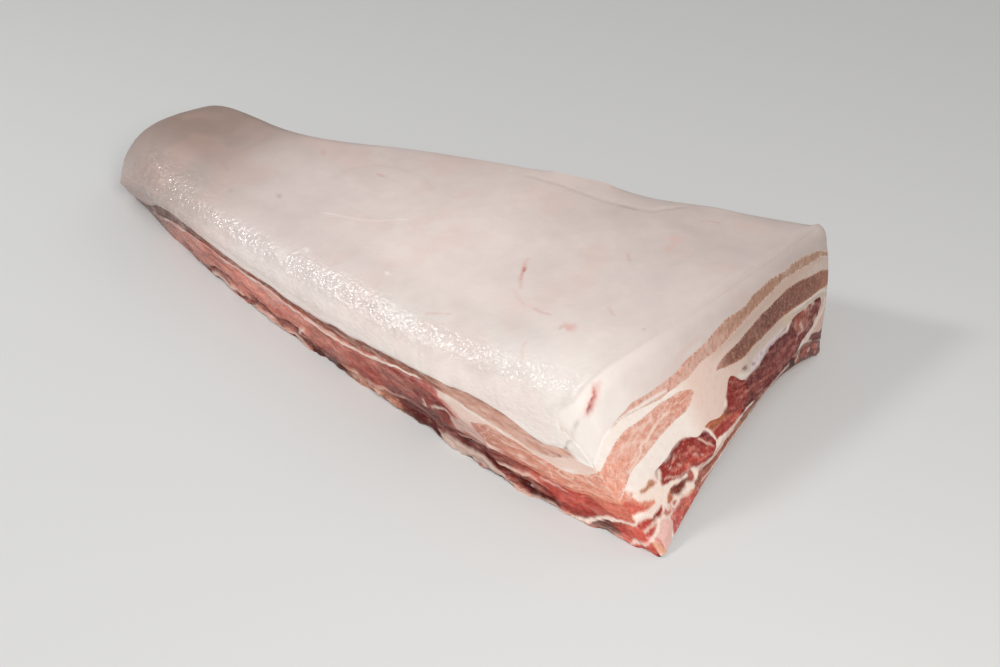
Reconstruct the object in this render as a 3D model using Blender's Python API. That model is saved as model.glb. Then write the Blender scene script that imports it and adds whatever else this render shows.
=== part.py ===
"""A slab of pork spareribs with the belly fat on, sawn straight at the wide end.

The slab is one loft. s runs from the rounded nose (0) to the wide cut face (1),
t from the near long side (0) to the far one (1), and w from the rib side (0) up
to the fat (1). One lattice of points on that loft is shared by all the layers,
so neighbours meet face to face, with the same thin gap everywhere.
Lengths are in metres, +Z is up, and the slab lies on its rib side.
"""

import math

import bpy
import numpy as np

# Plan: two outlines, one at the table and one at the rim where the fat rolls over.
# x holds a side's two ends, and y its distance across at the side stations.
SIDE_STATIONS = (0.0, 0.1, 0.2, 0.4, 0.6, 0.8, 1.0)
FACE_STATIONS = (0.0, 0.25, 0.5, 0.75, 1.0)
FOOT = {
    "near": {"x": (-0.484, 0.0), "y": (0.027, 0.016, 0.007, -0.003, -0.008, -0.011, 0.0)},
    "far": {"x": (-0.485, -0.023), "y": (0.096, 0.101, 0.101, 0.119, 0.141, 0.167, 0.199)},
    "face": {"x": (0.0, -0.010, -0.017, -0.023, -0.023), "y": (0.0, 0.050, 0.100, 0.150, 0.199)},
}
RIM = {
    "near": {"x": (-0.487, -0.068), "y": (0.017, 0.008, 0.002, -0.005, -0.010, -0.011, 0.0)},
    "far": {"x": (-0.490, -0.046), "y": (0.104, 0.107, 0.107, 0.138, 0.166, 0.191, 0.221)},
    "face": {"x": (-0.068, -0.062, -0.055, -0.050, -0.046), "y": (0.0, 0.050, 0.105, 0.163, 0.221)},
}
NOSE_SAG = 0.020
CENTRE = (-0.2542, 0.1046)

# The far side swells outwards two thirds of the way up. w * w * (1 - w) peaks at 4/27, which
# BULGE_SCALE brings to 1, and the powers keep the swelling off the near side and the nose.
FAR_BULGE = 0.003
BULGE_SCALE = 27 / 4
BULGE_ACROSS = 3
BULGE_ALONG = 8

# Heights along the slab: the crown of the fat, and the rim on each side of it.
HEIGHT_STATIONS = (0.0, 0.05, 0.1, 0.2, 0.4, 0.6, 0.8, 1.0)
CROWN = (0.053, 0.055, 0.057, 0.0585, 0.063, 0.0695, 0.074, 0.080)
NEAR_RIM = (0.018, 0.027, 0.033, 0.0385, 0.042, 0.045, 0.0485, 0.052)
FAR_RIM = (0.018, 0.034, 0.039, 0.047, 0.060, 0.068, 0.0705, 0.074)
FAR_LIPS = ((0.665, 0.05, 0.0035), (0.765, 0.04, -0.0035), (0.86, 0.03, 0.002))
NOSE_RIM = 0.018
LENGTH = 0.480
NEAR_ROLL = 0.042
FAR_ROLL = 0.014
NOSE_ROLL = 0.045

# Rib side: an arch that opens towards the wide end, and a furrow between two ribs.
# ARCH_SKEW moves the arch's top towards the far side, and a bluntness or sharpness is the
# power of a sine. At the long sides the furrow has FURROW_AT_EDGE of its depth.
ARCH = 0.015
ARCH_START = 0.2
ARCH_SKEW = 1.5
ARCH_BLUNTNESS = 0.8
FURROW = 0.003
FURROW_SHARPNESS = 1.5
FURROW_AT_EDGE = 0.3
FURROW_FADE = 0.12
RIB_START = 0.08
RIB_CELLS = 3
RIB_STEPS = 32
RIB_PITCH = (1.0 - RIB_START) * RIB_CELLS / RIB_STEPS

# Lattice: crowded at the nose and at both rolled edges.
NOSE_ROWS = (0.0, 0.008, 0.025, 0.05)
S = np.array(NOSE_ROWS + tuple(RIB_START + RIB_PITCH * n / RIB_CELLS for n in range(RIB_STEPS + 1)))
T = np.array((0.0, 0.04, 0.10, 0.18, 0.26, 0.33, 0.37, 0.47, 0.51, 0.60, 0.70, 0.80, 0.90, 0.96, 1.0))

# Boundaries between layers, as shares of the thickness: at the nose, along the near
# side, over the wide face, and along the far side.
NEAR_MARKS = (0.0, 0.05, 0.1, 0.15, 0.2, 0.3, 0.4, 0.5, 0.6, 0.7, 0.75, 0.79, 0.85, 0.9, 0.925, 0.96, 1.0)
FACE_MARKS = (0.0, 0.05, 0.1, 0.2, 0.26, 0.33, 0.37, 0.44, 0.47, 0.51, 0.56, 0.6, 0.7, 0.8, 0.9, 1.0)
FAR_MARKS = (0.0, 0.1, 0.2, 0.4, 0.6, 0.8, 1.0)
BOUNDARIES = {
    "fat_bottom": {
        "near": (0.42, 0.48, 0.70, 0.88, 0.90, 0.82, 0.79, 0.79, 0.84, 0.92, 0.96, 0.95, 0.955, 0.86,
                 0.76, 0.78, 0.73),
        "face": (0.73, 0.75, 0.75, 0.735, 0.725, 0.72, 0.745, 0.76, 0.77, 0.795, 0.81, 0.81, 0.85, 0.875,
                 0.87, 0.845),
        "far": (0.42, 0.80, 0.82, 0.82, 0.84, 0.85, 0.845),
    },
    "upper_lean_bottom": {
        "near": (0.34, 0.36, 0.50, 0.64, 0.70, 0.70, 0.69, 0.67, 0.69, 0.82, 0.86, 0.80, 0.72, 0.61,
                 0.61, 0.68, 0.70),
        "face": (0.70, 0.725, 0.715, 0.68, 0.655, 0.63, 0.64, 0.66, 0.66, 0.66, 0.67, 0.685, 0.74, 0.80,
                 0.785, 0.80),
        "far": (0.34, 0.72, 0.74, 0.745, 0.77, 0.79, 0.80),
    },
    "middle_lean_top": {
        "near": (0.32, 0.34, 0.47, 0.61, 0.67, 0.67, 0.66, 0.64, 0.66, 0.79, 0.80, 0.61, 0.665, 0.55,
                 0.52, 0.56, 0.665),
        "face": (0.665, 0.67, 0.655, 0.635, 0.62, 0.595, 0.56, 0.52, 0.555, 0.58, 0.60, 0.61, 0.655, 0.71,
                 0.70, 0.69),
        "far": (0.31, 0.55, 0.60, 0.64, 0.66, 0.68, 0.69),
    },
    "middle_lean_bottom": {
        "near": (0.30, 0.31, 0.44, 0.58, 0.65, 0.66, 0.65, 0.62, 0.64, 0.77, 0.74, 0.50, 0.42, 0.38,
                 0.37, 0.40, 0.45),
        "face": (0.45, 0.47, 0.47, 0.475, 0.47, 0.475, 0.51, 0.42, 0.52, 0.495, 0.465, 0.455, 0.48, 0.51,
                 0.52, 0.57),
        "far": (0.29, 0.48, 0.53, 0.55, 0.56, 0.565, 0.57),
    },
    "deep_lean_top": {
        "near": (0.26, 0.27, 0.40, 0.54, 0.62, 0.63, 0.62, 0.59, 0.61, 0.74, 0.70, 0.45, 0.37, 0.34,
                 0.33, 0.36, 0.42),
        "face": (0.42, 0.37, 0.355, 0.35, 0.35, 0.25, 0.275, 0.235, 0.31, 0.42, 0.30, 0.29, 0.34, 0.42,
                 0.47, 0.47),
        "far": (0.26, 0.40, 0.44, 0.46, 0.47, 0.47, 0.47),
    },
    "rib_sheet_top": {
        "near": (0.12,) + (0.11,) * 16,
        "face": (0.11, 0.09, 0.08) + (0.07,) * 9 + (0.07, 0.09, 0.12, 0.13),
        "far": (0.12, 0.11, 0.11, 0.11, 0.12, 0.13, 0.13),
    },
}
THINNEST = 0.025

# The seven levels of cells, from the rib side up. The middle lean takes up two places in the
# middle level, given by the s and t they start or end at, and the seam fat has the rest of it.
RIB_SHEET, DEEP_LEAN, LOWER_SEAM, MIDDLE, UPPER_SEAM, UPPER_LEAN, FAT_CAP = range(7)
FAR_LEAN = (0.34, 0.47)
NEAR_LEAN = (0.80, 0.37)

# The rib's end is a block of cells at the near corner of the sawn face.
TIP_ROWS = 1
TIP_COLUMNS = 2

# Layers stand this far apart. Faces at a point that differ by less than ALMOST_FLAT count as one.
HALF_GAP = 0.00015
ALMOST_FLAT = 0.15
SHARP_EDGE = math.radians(40.0)

FAT = ((0.86, 0.79, 0.75, 1.0), 0.42)
BROWN_LEAN = ((0.55, 0.34, 0.27, 1.0), 0.50)
PINK_LEAN = ((0.72, 0.45, 0.38, 1.0), 0.48)
RED_LEAN = ((0.50, 0.16, 0.14, 1.0), 0.42)
MEMBRANE = ((0.78, 0.64, 0.58, 1.0), 0.38)
GRISTLE = ((0.83, 0.66, 0.62, 1.0), 0.34)


def smooth(u, stations, values):
    """A smooth curve through the values given at the stations."""
    stations = np.asarray(stations, float)
    values = np.asarray(values, float)
    slopes = np.gradient(values, stations)
    u = np.clip(u, stations[0], stations[-1])
    i = np.clip(np.searchsorted(stations, u, side="right") - 1, 0, len(stations) - 2)
    span = stations[i + 1] - stations[i]
    x = (u - stations[i]) / span
    rise = x * x * (3.0 - 2.0 * x)
    start = x * (1.0 - x) ** 2 * span * slopes[i]
    end = x * x * (x - 1.0) * span * slopes[i + 1]
    return values[i] + rise * (values[i + 1] - values[i]) + start + end


def patch(s, t, nose, near, face, far):
    """A surface between four edge curves: nose and face over t, near and far over s."""
    corners = (1 - s) * ((1 - t) * near[:1] + t * far[:1]) + s * ((1 - t) * near[-1:] + t * far[-1:])
    return (1 - t) * near + t * far + (1 - s) * nose + s * face - corners


def nose_arc(start, end, t):
    """A circular arc that bows out of the chord from start to end by NOSE_SAG."""
    chord = end - start
    half = np.linalg.norm(chord) / 2
    along = chord / (2 * half)
    out = np.array((-along[1], along[0]))
    radius = (half**2 + NOSE_SAG**2) / (2 * NOSE_SAG)
    angle = (2 * t - 1) * math.asin(half / radius)
    middle = (start + end) / 2 - out * (radius - NOSE_SAG)
    return [middle[k] + radius * (np.sin(angle) * along[k] + np.cos(angle) * out[k]) for k in (0, 1)]


def side_line(side, s):
    """Plan positions along one long side."""
    return [side["x"][0] + (side["x"][1] - side["x"][0]) * s, smooth(s, SIDE_STATIONS, side["y"])]


def outline(sides, s, t):
    """Plan positions inside one outline, for a column of s and a row of t."""
    near, far = side_line(sides["near"], s), side_line(sides["far"], s)
    start = np.array([near[0][0, 0], near[1][0, 0]])
    end = np.array([far[0][0, 0], far[1][0, 0]])
    nose = nose_arc(start, end, t)
    face = [smooth(t, FACE_STATIONS, sides["face"][axis]) for axis in "xy"]
    return [patch(s, t, nose[k], near[k], face[k], far[k]) for k in (0, 1)]


def roll(distance, radius):
    """How far an edge has risen, from 0 to 1, at a distance in from it."""
    q = np.clip(distance / radius, 0.0, 1.0)
    return np.sqrt(1.0 - (1.0 - q) ** 2)


def fat_height(s, t):
    """Height of the fat: a crown that rolls over at the two sides and the nose."""
    near, far = side_line(RIM["near"], s), side_line(RIM["far"], s)
    width = np.hypot(far[0] - near[0], far[1] - near[1])
    crown = smooth(s, HEIGHT_STATIONS, CROWN)
    near_rim = smooth(s, HEIGHT_STATIONS, NEAR_RIM)
    far_rim = smooth(s, HEIGHT_STATIONS, FAR_RIM)
    for place, spread, rise in FAR_LIPS:
        far_rim = far_rim + rise * np.exp(-(((s - place) / spread) ** 2))
    from_near = near_rim + (crown - near_rim) * roll(t * width, NEAR_ROLL)
    from_far = far_rim + (crown - far_rim) * roll((1 - t) * width, FAR_ROLL)
    height = np.minimum(from_near, from_far)
    return NOSE_RIM + (height - NOSE_RIM) * roll(s * LENGTH, NOSE_ROLL)


def rib_side_height(s, t):
    """Height of the underside: the arch, and a furrow between each two ribs."""
    bow = np.clip(np.sin(math.pi * t**ARCH_SKEW), 0.0, 1.0) ** ARCH_BLUNTNESS
    arch = ARCH * bow * np.clip((s - ARCH_START) / (1 - ARCH_START), 0.0, 1.0)
    phase = np.clip(s - RIB_START, 0.0, 1.0) / RIB_PITCH
    between = (0.5 + 0.5 * np.cos(2 * math.pi * phase)) ** FURROW_SHARPNESS
    from_nose = np.clip(s / RIB_START, 0.0, 1.0)
    from_edge = np.clip(FURROW_AT_EDGE + np.minimum(t, 1 - t) / FURROW_FADE, 0.0, 1.0)
    return arch + FURROW * between * from_nose * from_edge


def boundary(name, s, t):
    """One boundary between layers over the whole slab, as a share of the thickness."""
    marks = BOUNDARIES[name]
    near = smooth(s, NEAR_MARKS, marks["near"])
    face = smooth(t, FACE_MARKS, marks["face"])
    far = smooth(s, FAR_MARKS, marks["far"])
    return patch(s, t, marks["near"][0] + 0.0 * t, near, face, far)


def lattice():
    """The lattice's points, indexed by s, t and level from the rib side to the fat."""
    s = S[:, None]
    t = T[None, :]
    levels = [np.ones((len(S), len(T)))]
    for name in BOUNDARIES:
        levels.append(np.minimum(boundary(name, s, t), levels[-1] - THINNEST))
    levels.append(np.zeros((len(S), len(T))))
    w = np.stack(levels[::-1], axis=-1)
    foot = outline(FOOT, s, t)
    rim = outline(RIM, s, t)
    bulge = FAR_BULGE * BULGE_SCALE * w * w * (1 - w) * (t**BULGE_ACROSS)[..., None]
    x = foot[0][..., None] * (1 - w) + rim[0][..., None] * w + bulge * (s**BULGE_ALONG)[..., None]
    y = foot[1][..., None] * (1 - w) + rim[1][..., None] * w + bulge
    low = rib_side_height(s, t)[..., None]
    high = fat_height(s, t)[..., None]
    return np.stack([x - CENTRE[0], y - CENTRE[1], low + (high - low) * w], axis=-1)


def skin(cells):
    """Quads round a set of lattice cells, each with whether it faces another layer."""
    quads = []
    inner = []
    padded = np.pad(cells, 1)
    for axis in range(3):
        step = np.eye(3, dtype=int)
        across, up = step[(axis + 1) % 3], step[(axis + 2) % 3]
        for side in (0, 1):
            beyond = np.roll(padded, 1 - 2 * side, axis=axis)[1:-1, 1:-1, 1:-1]
            base = np.argwhere(cells & ~beyond) + side * step[axis]
            quad = np.stack([base, base + across, base + across + up, base + up], axis=1)
            quads.append(quad if side else quad[:, [0, 3, 2, 1]])
            inner.append((base[:, axis] > 0) & (base[:, axis] < cells.shape[axis]))
    return np.concatenate(quads), np.concatenate(inner)


def draw_back(points, triangles, inner):
    """Points moved off the neighbouring layers by half the gap."""
    corners = points[triangles]
    normals = np.cross(corners[:, 1] - corners[:, 0], corners[:, 2] - corners[:, 0])
    normals /= np.linalg.norm(normals, axis=1, keepdims=True)
    facing = [[] for _ in points]
    for triangle, normal in zip(triangles[inner], normals[inner]):
        for corner in triangle:
            facing[corner].append(normal)
    moved = points.copy()
    for index, rows in enumerate(facing):
        if rows:
            back = np.full(len(rows), -HALF_GAP)
            moved[index] += np.linalg.lstsq(np.array(rows), back, rcond=ALMOST_FLAT)[0]
    return moved


def finish(name, colour, roughness):
    """A material for one sub-part."""
    material = bpy.data.materials.new(name)
    material.use_nodes = True
    shader = material.node_tree.nodes["Principled BSDF"]
    shader.inputs["Base Color"].default_value = colour
    shader.inputs["Roughness"].default_value = roughness
    shader.inputs["Metallic"].default_value = 0.0
    return material


def layer(name, grid, cells, look, collection):
    """One closed solid made of lattice cells, split into triangles along one diagonal."""
    quads, inner = skin(cells)
    flat = np.ravel_multi_index(tuple(np.moveaxis(quads, -1, 0)), grid.shape[:3])
    used, flat = np.unique(flat, return_inverse=True)
    flat = flat.reshape(-1, 4)
    triangles = np.concatenate([flat[:, [0, 1, 2]], flat[:, [0, 2, 3]]])
    points = draw_back(grid.reshape(-1, 3)[used], triangles, np.tile(inner, 2))
    mesh = bpy.data.meshes.new(name)
    mesh.from_pydata(points.tolist(), [], triangles.tolist())
    mesh.shade_smooth()
    mesh.set_sharp_from_angle(angle=SHARP_EDGE)
    mesh.materials.append(finish(name, *look))
    collection.objects.link(bpy.data.objects.new(name, mesh))


def build():
    """All the layers, from the fat down to the rib side."""
    for old in list(bpy.data.objects):
        bpy.data.objects.remove(old)
    collection = bpy.data.collections.new("pork_spareribs")
    bpy.context.scene.collection.children.link(collection)

    grid = lattice()
    shape = tuple(n - 1 for n in grid.shape[:3])
    row, column, level = np.indices(shape)
    s_mid = ((S[1:] + S[:-1]) / 2)[row]
    t_mid = ((T[1:] + T[:-1]) / 2)[column]

    tip = (row >= shape[0] - TIP_ROWS) & (column < TIP_COLUMNS) & (level <= DEEP_LEAN)
    far_lean = (level == MIDDLE) & (s_mid > FAR_LEAN[0]) & (t_mid > FAR_LEAN[1])
    near_lean = (level == MIDDLE) & (s_mid > NEAR_LEAN[0]) & (t_mid < NEAR_LEAN[1])
    seam = (level >= LOWER_SEAM) & (level <= UPPER_SEAM) & ~far_lean & ~near_lean

    layer("fat_cap", grid, level == FAT_CAP, FAT, collection)
    layer("upper_lean", grid, level == UPPER_LEAN, BROWN_LEAN, collection)
    layer("seam_fat", grid, seam, FAT, collection)
    layer("middle_lean_far", grid, far_lean, BROWN_LEAN, collection)
    layer("middle_lean_near", grid, near_lean, PINK_LEAN, collection)
    layer("deep_lean", grid, (level == DEEP_LEAN) & ~tip, RED_LEAN, collection)
    layer("rib_sheet", grid, (level == RIB_SHEET) & ~tip, MEMBRANE, collection)
    layer("rib_tip", grid, tip, GRISTLE, collection)


build()
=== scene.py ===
"""Looks of a raw slab of pork spareribs with its belly fat on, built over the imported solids.

s runs from the rounded nose (0) to the sawn wide face (1), t from the near long side (0)
to the far one (1), and w from the rib side (0) up to the fat (1), as in the solids.
"""

import itertools
import math

import bpy
import numpy as np
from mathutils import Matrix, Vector


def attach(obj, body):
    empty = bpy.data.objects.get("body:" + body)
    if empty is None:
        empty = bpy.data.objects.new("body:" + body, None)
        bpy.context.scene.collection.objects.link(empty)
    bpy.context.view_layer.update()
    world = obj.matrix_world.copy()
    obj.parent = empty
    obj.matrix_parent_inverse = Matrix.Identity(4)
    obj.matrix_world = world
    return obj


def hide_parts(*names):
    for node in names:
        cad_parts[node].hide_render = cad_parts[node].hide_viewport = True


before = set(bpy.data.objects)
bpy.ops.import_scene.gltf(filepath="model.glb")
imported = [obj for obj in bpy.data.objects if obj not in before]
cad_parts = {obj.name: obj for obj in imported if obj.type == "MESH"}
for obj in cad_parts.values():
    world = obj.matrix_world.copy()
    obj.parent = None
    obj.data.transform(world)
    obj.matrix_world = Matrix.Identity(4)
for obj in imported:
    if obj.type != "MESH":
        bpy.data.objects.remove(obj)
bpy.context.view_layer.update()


# ---------------------------------------------------------------------------
# Studio: a pale table, a soft key light over the near corner, a soft fill from
# the left, a dim light behind, and the camera at the photograph's angle.
# ---------------------------------------------------------------------------
TABLE_HALF = 3.0
TABLE_PALE = (0.70, 0.70, 0.69, 1.0)
CAMERA_PLACE = (0.5140, -0.5370, 0.5745)
CAMERA_TARGET = (0.0651, -0.0199, 0.0)
CAMERA_LENS = 50.4
ROOM_LIGHT = 0.33

scene = bpy.context.scene
scene.view_settings.view_transform = "Standard"

table_mesh = bpy.data.meshes.new("table")
table_mesh.from_pydata(
    [(x * TABLE_HALF, y * TABLE_HALF, 0.0) for x, y in ((-1, -1), (1, -1), (1, 1), (-1, 1))],
    [], [(0, 1, 2, 3)])
table = bpy.data.objects.new("table", table_mesh)
scene.collection.objects.link(table)
table_paint = bpy.data.materials.new("table_paint")
table_paint.use_nodes = True
table_shader = table_paint.node_tree.nodes["Principled BSDF"]
table_shader.inputs["Base Color"].default_value = TABLE_PALE
table_shader.inputs["Roughness"].default_value = 0.75
table_mesh.materials.append(table_paint)


def area_light(name, place, target, size, power, colour):
    """A square soft light at a place, turned to face a target."""
    lamp = bpy.data.lights.new(name, "AREA")
    lamp.shape = "SQUARE"
    lamp.size = size
    lamp.energy = power
    lamp.color = colour
    light = bpy.data.objects.new(name, lamp)
    light.location = place
    light.rotation_euler = (Vector(target) - Vector(place)).to_track_quat("-Z", "Y").to_euler()
    scene.collection.objects.link(light)


area_light("key", (0.72, -0.46, 0.80), (0.12, 0.0, 0.03), 0.42, 6.2, (1.0, 0.985, 0.965))
area_light("left_fill", (-0.72, -0.62, 0.90), (0.0, 0.0, 0.03), 0.20, 5.6, (0.975, 0.985, 1.0))
area_light("back", (0.15, 1.1, 1.1), (0.05, 0.0, 0.03), 0.7, 1.8, (1.0, 0.99, 0.98))

world = bpy.data.worlds.new("studio")
world.use_nodes = True
world.node_tree.nodes["Background"].inputs["Color"].default_value = (1.0, 1.0, 1.0, 1.0)
world.node_tree.nodes["Background"].inputs["Strength"].default_value = ROOM_LIGHT
scene.world = world

camera_data = bpy.data.cameras.new("camera")
camera_data.lens = CAMERA_LENS
camera_data.sensor_width = 36.0
camera_data.clip_start = 0.01
camera = bpy.data.objects.new("camera", camera_data)
camera.location = CAMERA_PLACE
camera.rotation_euler = (
    (Vector(CAMERA_TARGET) - Vector(CAMERA_PLACE)).to_track_quat("-Z", "Y").to_euler())
scene.collection.objects.link(camera)
scene.camera = camera


# ---------------------------------------------------------------------------
# Fat cap: the belly fat over the whole top, firm and white at the wide end and greyer
# towards the nose, partly with painted shade. It rolls over at both long sides and at the
# nose, its lip stands proud of the lean below, and the saw has cut it straight at the end.
# ---------------------------------------------------------------------------
# The slab's plan at its foot and at its rim, in metres from the near corner of the sawn face:
# the two ends in x and stations along s in y for a long side, stations along t for the face.
SIDE_STATIONS = (0.0, 0.1, 0.2, 0.4, 0.6, 0.8, 1.0)
FACE_STATIONS = (0.0, 0.25, 0.5, 0.75, 1.0)
FOOT = {
    "near": {"x": (-0.484, 0.0), "y": (0.027, 0.016, 0.007, -0.003, -0.008, -0.011, 0.0)},
    "far": {"x": (-0.485, -0.023), "y": (0.096, 0.101, 0.101, 0.119, 0.141, 0.167, 0.199)},
    "face": {"x": (0.0, -0.010, -0.017, -0.023, -0.023), "y": (0.0, 0.050, 0.100, 0.150, 0.199)},
}
RIM = {
    "near": {"x": (-0.487, -0.068), "y": (0.017, 0.008, 0.002, -0.005, -0.010, -0.011, 0.0)},
    "far": {"x": (-0.490, -0.046), "y": (0.104, 0.107, 0.107, 0.138, 0.166, 0.191, 0.221)},
    "face": {"x": (-0.068, -0.062, -0.055, -0.050, -0.046), "y": (0.0, 0.050, 0.105, 0.163, 0.221)},
}

# How far the nose bows out and the far side bulges, and the middle of the plan, in metres.
NOSE_SAG = 0.020
FAR_BULGE = 0.003
BULGE_SCALE = 27 / 4
BULGE_ACROSS = 3
BULGE_ALONG = 8
CENTRE = np.array((-0.2542, 0.1046))

# Heights of the fat's crown and of its two rims along s, the waves in the far rim (place, spread,
# rise), and how far in from each edge the fat rolls over, in metres.
HEIGHT_STATIONS = (0.0, 0.05, 0.1, 0.2, 0.4, 0.6, 0.8, 1.0)
CROWN = (0.053, 0.055, 0.057, 0.0585, 0.063, 0.0695, 0.074, 0.080)
NEAR_RIM = (0.018, 0.027, 0.033, 0.0385, 0.042, 0.045, 0.0485, 0.052)
FAR_RIM = (0.018, 0.034, 0.039, 0.047, 0.060, 0.068, 0.0705, 0.074)
FAR_LIPS = ((0.665, 0.05, 0.0035), (0.765, 0.04, -0.0035), (0.86, 0.03, 0.002))
NOSE_RIM = 0.018
NEAR_ROLL = 0.042
FAR_ROLL = 0.014
NOSE_ROLL = 0.045

# The slab's rounded length and width, in mm, that turn s and t into distances.
LONG, WIDE = 480.0, 200.0
LENGTH = LONG / 1000.0

# The rib side, in metres: how high its arch stands, how deep the furrows between the ribs are,
# and how they fade towards the sides; the first rib's place and the pitch of the ribs along s.
ARCH = 0.015
ARCH_START = 0.2
ARCH_SKEW = 1.5
ARCH_BLUNTNESS = 0.8
FURROW = 0.003
FURROW_SHARPNESS = 1.5
FURROW_AT_EDGE = 0.3
FURROW_FADE = 0.12
RIB_START = 0.08
RIB_PITCH = (1.0 - RIB_START) * 3 / 32

# Where the layers part, as shares of the thickness at marks along the near side, the sawn face
# and the far side; and the s and t at which the two halves of the middle lean die out.
NEAR_MARKS = (0.0, 0.05, 0.1, 0.15, 0.2, 0.3, 0.4, 0.5, 0.6, 0.7, 0.75, 0.79, 0.85, 0.9, 0.925, 0.96, 1.0)
FACE_MARKS = (0.0, 0.05, 0.1, 0.2, 0.26, 0.33, 0.37, 0.44, 0.47, 0.51, 0.56, 0.6, 0.7, 0.8, 0.9, 1.0)
FAR_MARKS = (0.0, 0.1, 0.2, 0.4, 0.6, 0.8, 1.0)
BOUNDARIES = {
    "rib_sheet_top": {
        "near": (0.12,) + (0.11,) * 16,
        "face": (0.11, 0.09, 0.08) + (0.07,) * 9 + (0.07, 0.09, 0.12, 0.13),
        "far": (0.12, 0.11, 0.11, 0.11, 0.12, 0.13, 0.13),
    },
    "deep_lean_top": {
        "near": (0.26, 0.27, 0.40, 0.54, 0.62, 0.63, 0.62, 0.59, 0.61, 0.74, 0.70, 0.45, 0.37, 0.34,
                 0.33, 0.36, 0.42),
        "face": (0.42, 0.37, 0.355, 0.35, 0.35, 0.25, 0.275, 0.235, 0.31, 0.42, 0.30, 0.29, 0.34, 0.42,
                 0.47, 0.47),
        "far": (0.26, 0.40, 0.44, 0.46, 0.47, 0.47, 0.47),
    },
    "middle_lean_bottom": {
        "near": (0.30, 0.31, 0.44, 0.58, 0.65, 0.66, 0.65, 0.62, 0.64, 0.77, 0.74, 0.50, 0.42, 0.38,
                 0.37, 0.40, 0.45),
        "face": (0.45, 0.47, 0.47, 0.475, 0.47, 0.475, 0.51, 0.42, 0.52, 0.495, 0.465, 0.455, 0.48, 0.51,
                 0.52, 0.57),
        "far": (0.29, 0.48, 0.53, 0.55, 0.56, 0.565, 0.57),
    },
    "middle_lean_top": {
        "near": (0.32, 0.34, 0.47, 0.61, 0.67, 0.67, 0.66, 0.64, 0.66, 0.79, 0.80, 0.61, 0.665, 0.55,
                 0.52, 0.56, 0.665),
        "face": (0.665, 0.67, 0.655, 0.635, 0.62, 0.595, 0.56, 0.52, 0.555, 0.58, 0.60, 0.61, 0.655, 0.71,
                 0.70, 0.69),
        "far": (0.31, 0.55, 0.60, 0.64, 0.66, 0.68, 0.69),
    },
    "upper_lean_bottom": {
        "near": (0.34, 0.36, 0.50, 0.64, 0.70, 0.70, 0.69, 0.67, 0.69, 0.82, 0.86, 0.80, 0.72, 0.61,
                 0.61, 0.68, 0.70),
        "face": (0.70, 0.725, 0.715, 0.68, 0.655, 0.63, 0.64, 0.66, 0.66, 0.66, 0.67, 0.685, 0.74, 0.80,
                 0.785, 0.80),
        "far": (0.34, 0.72, 0.74, 0.745, 0.77, 0.79, 0.80),
    },
    "fat_bottom": {
        "near": (0.42, 0.48, 0.70, 0.88, 0.90, 0.82, 0.79, 0.79, 0.84, 0.92, 0.96, 0.95, 0.955, 0.86,
                 0.76, 0.78, 0.73),
        "face": (0.73, 0.75, 0.75, 0.735, 0.725, 0.72, 0.745, 0.76, 0.77, 0.795, 0.81, 0.81, 0.85, 0.875,
                 0.87, 0.845),
        "far": (0.42, 0.80, 0.82, 0.82, 0.84, 0.85, 0.845),
    },
}
FAR_LEAN = (0.34, 0.47)
NEAR_LEAN = (0.80, 0.37)

# The layers, from the rib side up, and the surface grid: rows along s, columns along t, and
# steps across each layer.
RIB_SHEET, DEEP_LEAN, LOW_SEAM, MIDDLE_LEAN, HIGH_SEAM, UPPER_LEAN, FAT_CAP = range(7)
COLUMN_MARKS = (0.0, 0.04, 0.10, 0.18, 0.26, 0.33, 0.37, 0.42, 0.47, 0.51, 0.60, 0.70, 0.80, 0.90,
                0.96, 1.0)
ROW_MARKS = (0.0, 0.34, 0.56, 0.80, 0.97125, 1.0)
ROW_STEPS = (0.0037, 0.0026, 0.0022, 0.0019, 0.0019)
COLUMN_STEP = 0.0036
LAYER_STEPS = (8, 26, 10, 16, 5, 12, 14)

# The waves of the parting lines (height in mm, size in mm, first seed); how thin a layer may get,
# as a share of the thickness or, for the dying middle lean, in mm; and its blunt end's radius.
WAVES = ((0.6, 14.0, 11), (0.32, 6.0, 21))
THINNEST = 0.012
THINNEST_END = 0.3
BLUNT_END = 4.5

# Radii of the sawn face's edges, in mm.
SIDE_EDGE = 1.8
FOOT_EDGE = 3.5
TOP_EDGE = 10.0


def stations(marks, steps):
    """Places from mark to mark, evenly spread between each two in an even number of steps of
    about the size given."""
    rows = [np.linspace(a, b, 2 * max(1, round((b - a) / step / 2)) + 1)[:-1]
            for a, b, step in zip(marks[:-1], marks[1:], steps)]
    return np.concatenate(rows + [marks[-1:]])


def smooth(u, places, values):
    """A curve through the values at the places: a cubic between each two, whose slope at a
    place is the mean of the slopes on either side."""
    places = np.asarray(places, float)
    values = np.asarray(values, float)
    slopes = np.gradient(values, places)
    u = np.clip(u, places[0], places[-1])
    i = np.clip(np.searchsorted(places, u, side="right") - 1, 0, len(places) - 2)
    span = places[i + 1] - places[i]
    x = (u - places[i]) / span
    rise = x * x * (3.0 - 2.0 * x)
    start = x * (1.0 - x) ** 2 * span * slopes[i]
    end = x * x * (x - 1.0) * span * slopes[i + 1]
    return values[i] + rise * (values[i + 1] - values[i]) + start + end


def patch(s, t, nose, near, face, far, corners):
    """A surface between four edge curves: the two blends across, less the blend of the corners
    (nose-near, nose-far, face-near, face-far)."""
    both = ((1 - s) * ((1 - t) * corners[0] + t * corners[1])
            + s * ((1 - t) * corners[2] + t * corners[3]))
    return (1 - t) * near + t * far + (1 - s) * nose + s * face - both


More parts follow.
